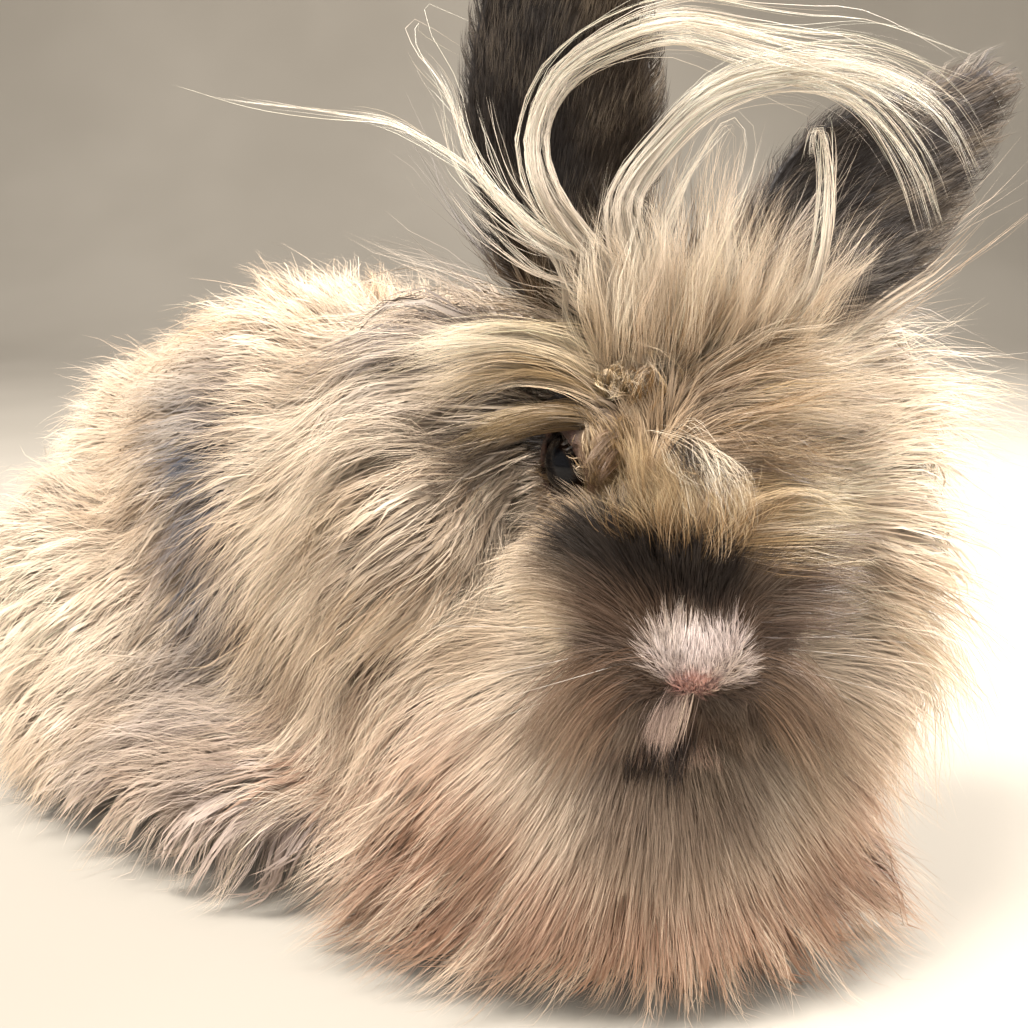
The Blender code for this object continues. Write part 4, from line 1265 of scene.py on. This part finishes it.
BRUSHES = {
    # lines of roots, middles and tips in the head's frame; tufts, strands in each, width, spread at root, middle and tip,
    # scatter of roots, middles and tips, colours along the brush, tips' colour and its share, waviness
    "coat_forelock": ([(9, -12, 24), (12, -13, 18)], [(5, -31, 27), (8, -28, 16)], [(-1, -55, 13), (8, -45, 5)],
                      40, 34, 0.12, (1.4, 1.0, 3.0), (1.6, 2.2, 4.0), [tone(240, 220, 184), tone(206, 172, 124)], BLOND, 0.6, 0.8),
    # the lower forelock: brown strands darkened as painted shade beneath the forelock, over the right eye
    "coat_forelock_low_painted_shade": ([(13, -14, 16), (18, -15, 14)], [(11, -26, 13), (14, -24, 11)], [(10, -44, 2), (16, -36, -1)],
                          16, 30, 0.12, (1.0, 1.0, 2.0), (1.2, 1.4, 2.5), [tone(156, 128, 86), tone(86, 66, 42)], tone(236, 212, 166), 0.5, 0.7),
    "coat_brow": ([(33, 0, 14), (42, 3, 10)], [(29, 18, 12), (36, 18, 6)], [(19, 40, 2), (28, 36, -6)],
                  60, 22, 0.11, (1.4, 1.4, 2.4), (2.4, 2.8, 4.5), [tone(118, 92, 64), tone(206, 176, 132)], tone(246, 230, 196), 0.75, 0.9),
    "coat_brow_top": ([(18, 3, 17), (32, 3, 15)], [(21, 15, 18), (31, 14, 13)], [(18, 32, 10), (26, 30, 5)],
                      40, 20, 0.12, (1.4, 1.4, 2.6), (2.8, 3.0, 4.5), [tone(74, 56, 40), tone(170, 138, 96)], tone(246, 230, 196), 0.6, 1.4),
    "coat_brow_fluff": ([(37, -10, 8), (42, -4, 11), (42, 3, 12), (39, 9, 10)], [(35, -12, 13), (39, -5, 16), (39, 3, 16), (36, 10, 14)],
                        [(31, -14, 16), (34, -6, 20), (34, 2, 20), (31, 10, 17)],
                        130, 12, 0.10, (2.0, 1.8, 1.6), (3.0, 3.0, 3.8), [tone(150, 120, 84), tone(170, 138, 98)], tone(242, 222, 180), 0.75, 0.5),
    "coat_rays": ([(14, -5, 20), (22, 3, 17)], [(8, 17, 25), (20, 22, 18)], [(-2, 46, 23), (16, 50, 7)],
                  44, 20, 0.12, (1.4, 1.8, 4.2), (2.6, 4.0, 7.0), [tone(128, 98, 66), tone(220, 190, 146)], BLOND, 0.55, 1.2),
    "coat_streak": ([(20, -5, 19), (26, 2, 18.5)], [(32, -3, 22), (35, 4, 20)], [(40, 0, 20), (42, 7, 15)],
                    44, 8, 0.11, (1.3, 1.6, 2.0), (2.0, 2.4, 3.2), [tone(226, 210, 184), tone(52, 40, 32)], tone(250, 240, 222), 0.5, 1.6),
    "coat_brow_fluff_top": ([(26, -13, 8), (33, -9, 12), (37, -3, 13)], [(25, -15, 14), (31, -9.5, 17), (35, -3, 17)],
                            [(22, -17, 18), (28, -11, 21.5), (33, -5, 20.5)],
                            100, 12, 0.10, (1.6, 1.4, 1.3), (3.0, 3.0, 3.6), [tone(176, 142, 98), tone(168, 134, 92)], tone(238, 216, 172), 0.65, 0.5),
    "coat_tangle": ([(22, 6, 17), (26, 10, 16), (24, 18, 14), (20, 24, 12)], [(26, 8, 20), (29, 14, 18), (27, 20, 16), (22, 27, 14)],
                    [(27, 15, 18), (30, 21, 15), (27, 30, 11), (22, 36, 8)],
                    70, 9, 0.09, (1.0, 2.0, 3.2), (4.0, 4.5, 6.5), [tone(88, 66, 46), tone(158, 124, 84)], tone(242, 226, 188), 0.6, 2.2),
    "coat_lid_front": ([(27, -14, 2), (26, -12.5, 8), (24, -11.5, 13)], [(25.5, -16, 8), (24, -14.5, 14), (21, -13, 18)],
                       [(22, -16.5, 14), (20, -15, 19), (16, -13, 22.5)],
                       70, 10, 0.09, (1.6, 1.6, 1.4), (2.0, 1.6, 2.2), [tone(158, 128, 84), tone(112, 86, 54)], tone(224, 198, 150), 0.45, 0.3),
    "coat_lip_edge": ([(53, -15, -19), (55, -6, -20), (55, 0, -21), (54, 6, -21.5)], [(55.5, -16, -22), (57.5, -6.5, -21.5), (57.5, 0, -22), (56.5, 6.5, -23)],
                      [(56.5, -17, -25), (58, -7, -23.8), (58, 0, -24), (57, 7, -26)],
                      90, 8, 0.12, (1.0, 0.9, 0.9), (1.2, 1.0, 1.0), [tone(150, 122, 104), tone(160, 130, 112)], tone(192, 162, 142), 0.5, 0.2),
    "coat_mouth": ([(50, -7, -15), (51, -2, -16), (50, 3, -15)], [(57, -8.5, -24.5), (58, -4, -25), (57, 1, -25)],
                   [(58, -10, -31), (59, -5, -33), (58, 0, -31)],
                   44, 16, 0.12, (1.4, 1.6, 2.0), (1.4, 1.4, 1.8), [tone(46, 35, 30), tone(52, 40, 34)], tone(96, 78, 68), 0.3, 0.3),
    "coat_knot": ([(10, -12, 19), (16, -5, 19)], [(13, -12, 24), (18, -7, 23)], [(17, -9, 21), (14, -8, 24)],
                  44, 8, 0.15, (0.7, 0.6, 0.8), (2.4, 4.0, 4.6), [tone(226, 196, 144), tone(176, 136, 84)], BLOND, 0.6, 1.8),
    "coat_over_eye": ([(19, -11, 17), (24, -11, 14)], [(23, -14.5, 16.5), (27, -13, 13)], [(25, -17, 12), (29, -15, 8)],
                      12, 12, 0.09, (0.8, 0.7, 0.9), (1.0, 0.9, 1.2), [tone(120, 92, 68), tone(96, 72, 54)], TAN, 0.4, 0.3),
    "coat_lip": ([(50, -11, -8), (55, -6, -8), (56, 0, -9), (55, 6, -8), (50, 11, -8)],
                 [(50, -15, -17), (53.5, -9, -18), (54, 0, -19), (53.5, 9, -18), (50, 15, -17)],
                 [(51, -20, -29), (55, -12, -26), (55, -2, -24), (55, 11, -26), (51, 19, -30)],
                 100, 20, 0.10, (1.6, 1.4, 1.6), (1.6, 1.4, 1.6), [tone(98, 76, 62), tone(62, 48, 40)], tone(176, 146, 124), 0.6, 0.3),
    "coat_lip_line": ([(57, -4.6, -6.8), (57, -1, -8)], [(56.5, -6.4, -13.5), (56.5, -2.0, -15)], [(57.5, -7.6, -22), (57.5, -1.4, -23)],
                      36, 13, 0.10, (1.2, 1.5, 1.8), (0.9, 1.2, 1.6), [tone(186, 164, 154), tone(194, 170, 158)], tone(200, 174, 160), 0.4, 0.3),
    "coat_whisker_pad_right": ([(54, -8, -1), (56, -7, -6)], [(50, -20, -12), (55, -15, -19)], [(60, -32, -33), (68, -23, -40)],
                               60, 22, 0.11, (1.6, 2.0, 3.6), (1.4, 2.8, 5.0), [tone(104, 80, 62), tone(130, 102, 82)], tone(226, 202, 172), 0.8, 0.8),
    "coat_whisker_pad_left": ([(54, 8, -1), (56, 6, -5)], [(49, 23, -14), (55, 18, -22)], [(58, 38, -41), (66, 27, -44)],
                              60, 22, 0.11, (1.6, 2.0, 3.6), (1.4, 2.8, 5.0), [tone(110, 86, 68), tone(140, 112, 90)], tone(222, 198, 170), 0.8, 0.8),
    "coat_muzzle_side": ([(48, 10, 1), (40, 12, 3), (34, 13, 3)], [(45, 21, -1), (36, 24, 1), (28, 25, 2)], [(40, 32, -9), (29, 36, -8), (20, 38, -5)],
                         70, 18, 0.11, (1.8, 2.2, 3.4), (2.4, 3.0, 4.5), [tone(78, 60, 48), tone(110, 86, 66)], tone(214, 188, 156), 0.6, 0.6),
    "coat_crown": ([(5, -13, 18), (7, -4, 19), (4, 8, 19), (-2, 20, 15)], [(8, -16, 30), (9, -4, 33), (5, 12, 32), (-1, 27, 24)],
                   [(0, -20, 44), (-1, -5, 51), (-6, 16, 50), (-11, 41, 38)],
                   210, 17, 0.11, (1.8, 1.7, 0.6), (3.4, 4.2, 6.0), [tone(184, 150, 112), tone(248, 228, 198)], BLOND, 0.8, 1.6),
}


def on_line(points, u):
    points = np.array(points, float)
    return np.stack([np.interp(u, np.linspace(0, 1, len(points)), points[:, k]) for k in range(3)], 1)


def brush(name, roots, middles, tips, tufts, each, width, spread, jitter, paints, tip_paint, tip_share, wave):
    """Tufts that root along one line, pass a second and end on a third."""
    tufts = tufts
    u = (np.arange(tufts) + rng.random(tufts)) / tufts
    a, m, b = (on_line(line, u) + rng.normal(size=(tufts, 3)) * j * 0.6 for line, j in zip((roots, middles, tips), jitter))
    a, m, b = (HEAD_CENTRE + q @ HEAD for q in (a, m, b))
    bend = 2 * m - (a + b) / 2
    foot = settle(a, 4)
    rows = 7
    s = spot_at(foot)
    who = np.repeat(np.arange(tufts), each)
    n = len(who)
    reach = (rng.uniform(0.72, 1.0, tufts)[who] * (1 - 0.35 * rng.random(n) ** 1.5))[:, None, None]
    t = np.linspace(0, 1, rows)[None, :, None] * reach
    core = a[who][:, None] * (1 - t) ** 2 + 2 * bend[who][:, None] * t * (1 - t) + b[who][:, None] * t * t
    core += (foot - a - s.n * 0.4)[who][:, None] * (1 - t) ** 2
    wide = np.interp(t[..., 0], (0, 0.5, 1), spread)[..., None]
    lines = core + rng.normal(size=(n, 1, 3)) * 0.5 * wide
    start = settle(lines[:, 0].copy(), 3)
    start -= height(start)[1] * 0.3
    lines += (start - lines[:, 0])[:, None] * (1 - np.linspace(0, 1, rows)[None, :, None]) ** 2
    phase, way = rng.uniform(0, 6.28, (tufts, 1, 1)), unit(rng.normal(size=(tufts, 1, 3)))
    size = np.linalg.norm(b - a, axis=1)[:, None, None]
    turns = np.maximum(1.0, size / 16)
    lines += (way * wave)[who] * np.sin(phase[who] + 6.28 * t * turns[who]) * t
    lines += rng.normal(size=(n, 1, 3)) * 0.25 * wave * np.sin(rng.uniform(0, 6.28, (n, 1, 1)) + 9 * t) * t
    flat = lines[:, 1:].reshape(-1, 3)
    v, g = height(flat)
    lines[:, 1:] = (flat + g * np.clip(0.4 - v, 0, 4)[:, None]).reshape(n, rows - 1, 3)
    mixed = name in ("coat_streak", "coat_tangle", "coat_crown", "coat_rays", "coat_brow_top", "coat_lid_front", "coat_brow")
    u = rng.random(tufts) if mixed else u
    u = (u > 0.5) * 1.0 if name == "coat_streak" else u      # white wisps over dark ones
    base = paints[0] * (1 - u)[:, None] + paints[1] * u[:, None]
    return furnish(name, lines, who, s, np.full(tufts, width), FACE_FUR if "lip" in name or "pad" in name else LOCK_WOOL, "coat_cream", taper=0.7,
                   roll=60, roots=0.65, tips=tip_share, tip_colour=tip_paint, base=base, clear_eye=name != "coat_over_eye",
                   contrast=1.9 if "lip" not in name and "pad" not in name else 1.1)


for name, settings in BRUSHES.items():
    brush(name, *settings)


# ------------------------------------------------------------------ long locks of the crest
def curve_through(points, count):
    """Evenly spaced points on a smooth curve through given ones, in the head's frame."""
    p = np.array([in_head(*q) for q in points])
    p = np.concatenate((p[:1] * 2 - p[1:2], p, p[-1:] * 2 - p[-2:-1]))
    out = []
    for k in range(1, len(p) - 2):
        for t in np.linspace(0, 1, 12, endpoint=False):
            a, b, c, d = p[k - 1], p[k], p[k + 1], p[k + 2]
            out.append(0.5 * (2 * b + (c - a) * t + (2 * a - 5 * b + 4 * c - d) * t * t + (3 * b - a - 3 * c + d) * t ** 3))
    out.append(p[-2])
    out = np.array(out)
    run = np.concatenate(((0,), np.cumsum(np.linalg.norm(np.diff(out, axis=0), axis=1))))
    want = np.linspace(0, run[-1], count)
    return np.stack([np.interp(want, run, out[:, k]) for k in range(3)], 1)


CREST = {
    # path in the head's frame, strands, spread at the root, in the middle and at the tip, loose strands' spread, curl, solid replaced
    "crest_long": ([(-1, -11, 30), (0, -17, 38), (-3, -22.5, 44), (-9, -25, 50), (-14, -23, 56), (-17, -19, 60), (-15, -13, 65), (-13, -4, 69),
                    (-14, 7, 67), (-18, 18, 64), (-23, 29, 61), (-25, 48, 54)], 260, 2.2, 1.9, 4.8, 1.2, 0.15, "crest_lock_1"),
    "crest_middle": ([(0, -8, 34), (-3, -11, 43), (-10, -5, 50), (-16, 4, 56), (-20, 17, 58), (-19, 30, 54.5), (-13, 39, 47), (-7, 44, 38)],
                     205, 2.0, 1.6, 3.0, 1.2, 0.15, "crest_lock_2"),
    "crest_folded": ([(2, 22, 34), (-4, 23, 44), (-11, 22, 52.5), (-11, 20, 53), (-7, 19, 49.5)], 90, 1.5, 1.6, 2.2, 0.8, 0.1, "crest_lock_3"),
    "crest_branch": ([(-1, -7, 34), (-4, -10, 43), (-11, -4, 50.5), (-17, 5, 57), (-20, 19, 60), (-22, 33, 59), (-20, 45, 53), (-15, 53, 43)],
                     150, 2.0, 1.5, 3.2, 1.2, 0.15, None),
    "crest_inner": ([(-2, -3, 34), (-6, 0, 45), (-12, 6, 53), (-12, 9, 51), (-8, 8, 45)], 60, 2.2, 2.4, 3.0, 1.2, 0.3, None),
    "crest_side_1": ([(-1, -14, 32), (-1, -23, 37), (-5, -30, 43), (-12, -34, 49), (-17, -36, 53)], 66, 2.2, 2.6, 2.8, 1.2, 0.3, None),
    "crest_side_2": ([(0, -15, 30), (0, -25, 34), (-4, -33, 38), (-8, -38, 42)], 44, 2.2, 2.6, 2.6, 1.2, 0.3, None),
    "crest_wisp_up": ([(0, -14, 31), (-2, -27, 39), (-9, -36, 46), (-18, -40, 53), (-26, -46, 58), (-32, -45, 62), (-29, -34, 59)],
                      40, 2.0, 2.6, 4.2, 2.0, 1.2, None),
    "crest_wisp_side": ([(0, -20, 34), (-8, -33, 44), (-19, -46, 47), (-25, -58, 46), (-33, -75, 44), (-39, -87, 44)], 34, 1.2, 0.7, 0.8, 0.6, 0.7, "crest_lock_4"),
}
for name, (path, count, at_root, at_middle, at_tip, stray, curly, node) in CREST.items():
    count = max(12, share(count))
    rows = 24
    rooted = [tuple(np.array(path[0]) * (0.72, 0.9, 0.66))] + path      # down to the skin
    core = curve_through(rooted, rows)
    along = unit(np.gradient(core, axis=0))
    first = unit(np.cross(along, HEAD[0] + 0.3 * HEAD[2]))
    second = np.cross(along, first)
    t = np.linspace(0, 1, rows)
    spread = np.interp(t, (0, 0.35, 1), (at_root, at_middle, at_tip))
    # the lock is made of thinner ones, with gaps between them
    thin = max(4, count // 11)
    of_thin = rng.integers(0, thin, count)
    u, v = (rng.normal(size=(2, thin)) * 0.66)[:, of_thin] + rng.normal(size=(2, count)) * 0.07
    u2, v2 = (rng.normal(size=(2, thin)) * 0.36)[:, of_thin] + rng.normal(size=(2, count)) * 0.05
    reach = (1 - 0.45 * rng.random(thin) ** 1.4)[of_thin] * (1 - 0.22 * rng.random(count) ** 1.5)
    reach[rng.random(count) < 0.12] = 1.0
    place = reach[:, None] * t[None]
    lines = np.stack([np.stack([np.interp(place[i], t, core[:, k]) for k in range(3)], 1) for i in range(count)])
    wide = np.interp(place, t, spread)
    fa = np.stack([np.interp(place, t, first[:, k]) for k in range(3)], -1)
    fb = np.stack([np.interp(place, t, second[:, k]) for k in range(3)], -1)
    phase = rng.uniform(0, 6.28, thin)[of_thin][:, None]
    lines += fa * (wide * (u[:, None] + u2[:, None] * np.sin(place * 6 + phase)))[..., None]
    lines += fb * (wide * (v[:, None] + v2[:, None] * np.cos(place * 6 + phase)))[..., None]
    curl = curly * (0.5 + rng.random(count))[:, None] * np.sin(place * 13 + rng.uniform(0, 6.28, count)[:, None]) * t[None]
    lines += (fa * rng.normal(size=(count, 1, 1)) + fb * rng.normal(size=(count, 1, 1))) * curl[..., None]
    loose = (rng.random(count) < 0.14)[:, None, None] * rng.normal(size=(count, 1, 3)) * stray * 2.2
    lines += loose * (t[None, :, None] ** 2)
    s = spot_at(lines[:, 0].copy())
    s.n = np.repeat(unit(in_head(30, -6, 40) - HEAD_CENTRE)[None], count, 0)
    who = np.arange(count)
    tones = (0.7 * rng.normal(size=thin))[of_thin] + 0.3 * rng.normal(size=count)
    s.crown = np.ones(count)
    s.ear = np.zeros(count, bool)
    made = furnish(name, lines, who, s, np.full(count, 0.115), LOCK_WOOL, "coat_cream", lock_tone=tones, taper=0.4, roll=60, roots=0.45,
                   tips=0.5, tip_colour=BLOND, base=np.tile(BLOND * 0.95, (count, 1)), contrast=1.5)
    if node:
        for o in made:
            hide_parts(node)


# ------------------------------------------------------------------ whiskers
def whiskers():
    lines = []
    for side in (-1, 1):
        for i in range(9):
            row, col = i % 4, i // 4
            root = np.array((50 - 2.6 * col, side * (6.5 + 1.4 * col), -5.0 - 2.4 * row))
            way = unit(np.array((0.25 - 0.15 * col, side * (1.0 - 0.1 * row), -0.15 - 0.30 * row)) + rng.normal(size=3) * 0.10)
            size = rng.uniform(26, 42)
            t = np.linspace(0, 1, 12)[:, None]
            p = root + way * size * t + np.array((0, 0, -1.0)) * (t ** 2) * size * 0.22 + np.array((-1.0, 0, 0)) * (t ** 2) * size * 0.18
            lines.append(HEAD_CENTRE + p @ HEAD)
    lines = np.array(lines)
    count, rows = lines.shape[:2]
    along = unit(np.gradient(lines, axis=1))
    a = unit(np.cross(along, (0.3, 0.2, 1.0)))
    b = np.cross(along, a)
    t = np.linspace(0, 1, rows)
    radius = 0.035 * (1 - t) ** 0.7 + 0.008
    ring = np.stack([lines + (a * math.cos(x) + b * math.sin(x)) * radius[None, :, None] for x in (0, 2.094, 4.189)], 2)
    points = ring.reshape(-1, 3)
    faces = []
    for w in range(count):
        for r in range(rows - 1):
            for k in range(3):
                base, k2 = (w * rows + r) * 3, (k + 1) % 3
                faces.append((base + k, base + k2, base + 3 + k2, base + 3 + k))
    n = Nodes("whisker")
    c = n.mix(n.ramp(n.noise(300, 2.0), 0.35, 0.65), rgba(205, 190, 175), rgba(245, 240, 232))
    n.link(c, n.shader.inputs["Base Color"])
    n.link(n.ramp(n.noise(500, 2.0), 0.3, 0.7, 0.3, 0.45), n.shader.inputs["Roughness"])
    n.bump(n.noise(900, 2.0), 0.1, 0.0001)
    return mesh_object("whiskers", points, np.array(faces), n.m)


whiskers()

# ------------------------------------------------------------------ floor, light and camera
def stage():
    """A pale floor that curves up into a backdrop behind the rabbit."""
    profile = [(-1.6, 0.0), (1.1, 0.0)]
    for k in range(1, 13):
        a = math.radians(7.5 * k)
        profile.append((1.1 + 0.6 * math.sin(a), 0.6 * (1 - math.cos(a))))
    profile.append((1.7, 3.0))
    turn = math.radians(40)
    points, faces = [], []
    for along, z in profile:
        for side in (-3.0, 3.0):
            x, y = side, along
            points.append((x * math.cos(turn) + y * math.sin(turn), -x * math.sin(turn) + y * math.cos(turn), z))
    for k in range(len(profile) - 1):
        faces.append((2 * k, 2 * k + 1, 2 * k + 3, 2 * k + 2))
    mesh = bpy.data.meshes.new("floor")
    mesh.from_pydata(points, [], faces)
    mesh.shade_smooth()
    n = Nodes("floor_pale")
    c = n.mix(n.ramp(n.noise(3, 3.0), 0.3, 0.7), rgba(170, 162, 150), rgba(180, 172, 160))
    n.link(c, n.shader.inputs["Base Color"])
    n.shader.inputs["Roughness"].default_value = 0.8
    mesh.materials.append(n.m)
    o = bpy.data.objects.new("floor", mesh)
    bpy.context.scene.collection.objects.link(o)


stage()


def lamp(name, place, aim, size, power, colour):
    light = bpy.data.lights.new(name, "AREA")
    light.shape = "DISK"
    light.size = size
    light.energy = power
    light.color = colour
    o = bpy.data.objects.new(name, light)
    bpy.context.scene.collection.objects.link(o)
    o.location = place
    o.rotation_euler = (Vector(aim) - Vector(place)).to_track_quat("-Z", "Y").to_euler()
    return o


lamp("key", (-0.45, -0.05, 1.05), (0, -0.05, 0.07), 0.45, 24, (1.0, 0.97, 0.93))
lamp("fill", (-0.45, -1.15, 0.60), (0, -0.05, 0.07), 0.9, 8.5, (1.0, 0.97, 0.94))
lamp("side", (0.75, -0.35, 0.60), (0, -0.05, 0.07), 0.5, 20, (1.0, 0.97, 0.94))
world = bpy.data.worlds.new("studio")
bpy.context.scene.world = world
world.use_nodes = True
world.node_tree.nodes["Background"].inputs["Color"].default_value = (0.92, 0.88, 0.82, 1)
world.node_tree.nodes["Background"].inputs["Strength"].default_value = 0.44

CAMERA_PLACE = (-171.0, -257.0, 128.0)
CAMERA_AZIMUTH, CAMERA_DIP = 40, 12
FOCAL_PIXELS, FRAME_PIXELS = 1300, 1028
cam = bpy.data.cameras.new("camera")
cam.sensor_width = 36
cam.lens = 36 * FOCAL_PIXELS / FRAME_PIXELS
cam.clip_start = 0.01
cam.clip_end = 20
camera = bpy.data.objects.new("camera", cam)
bpy.context.scene.collection.objects.link(camera)
camera.location = metres(CAMERA_PLACE)
camera.rotation_euler = (math.radians(90 - CAMERA_DIP), 0, math.radians(-CAMERA_AZIMUTH))
bpy.context.scene.camera = camera
bpy.context.scene.view_settings.view_transform = "Standard"
bpy.context.scene.cycles.max_bounces = 3
bpy.context.scene.cycles.diffuse_bounces = 1
bpy.context.scene.cycles.debug_use_spatial_splits = True
bpy.context.scene.cycles.glossy_bounces = 1
bpy.context.scene.cycles.light_sampling_threshold = 0.05
bpy.context.scene.cycles.use_light_tree = False

# ------------------------------------------------------------------ triangle counts of the skin and the coat
print("triangles", {o.name: sum(len(p.vertices) - 2 for p in o.data.polygons) for o in [skin] + coat_pieces if len(o.data.polygons) > 60_000},
      "coat in all", sum(len(o.data.loops) - 2 * len(o.data.polygons) for o in coat_pieces),
      "skin", len(skin.data.loops) - 2 * len(skin.data.polygons))
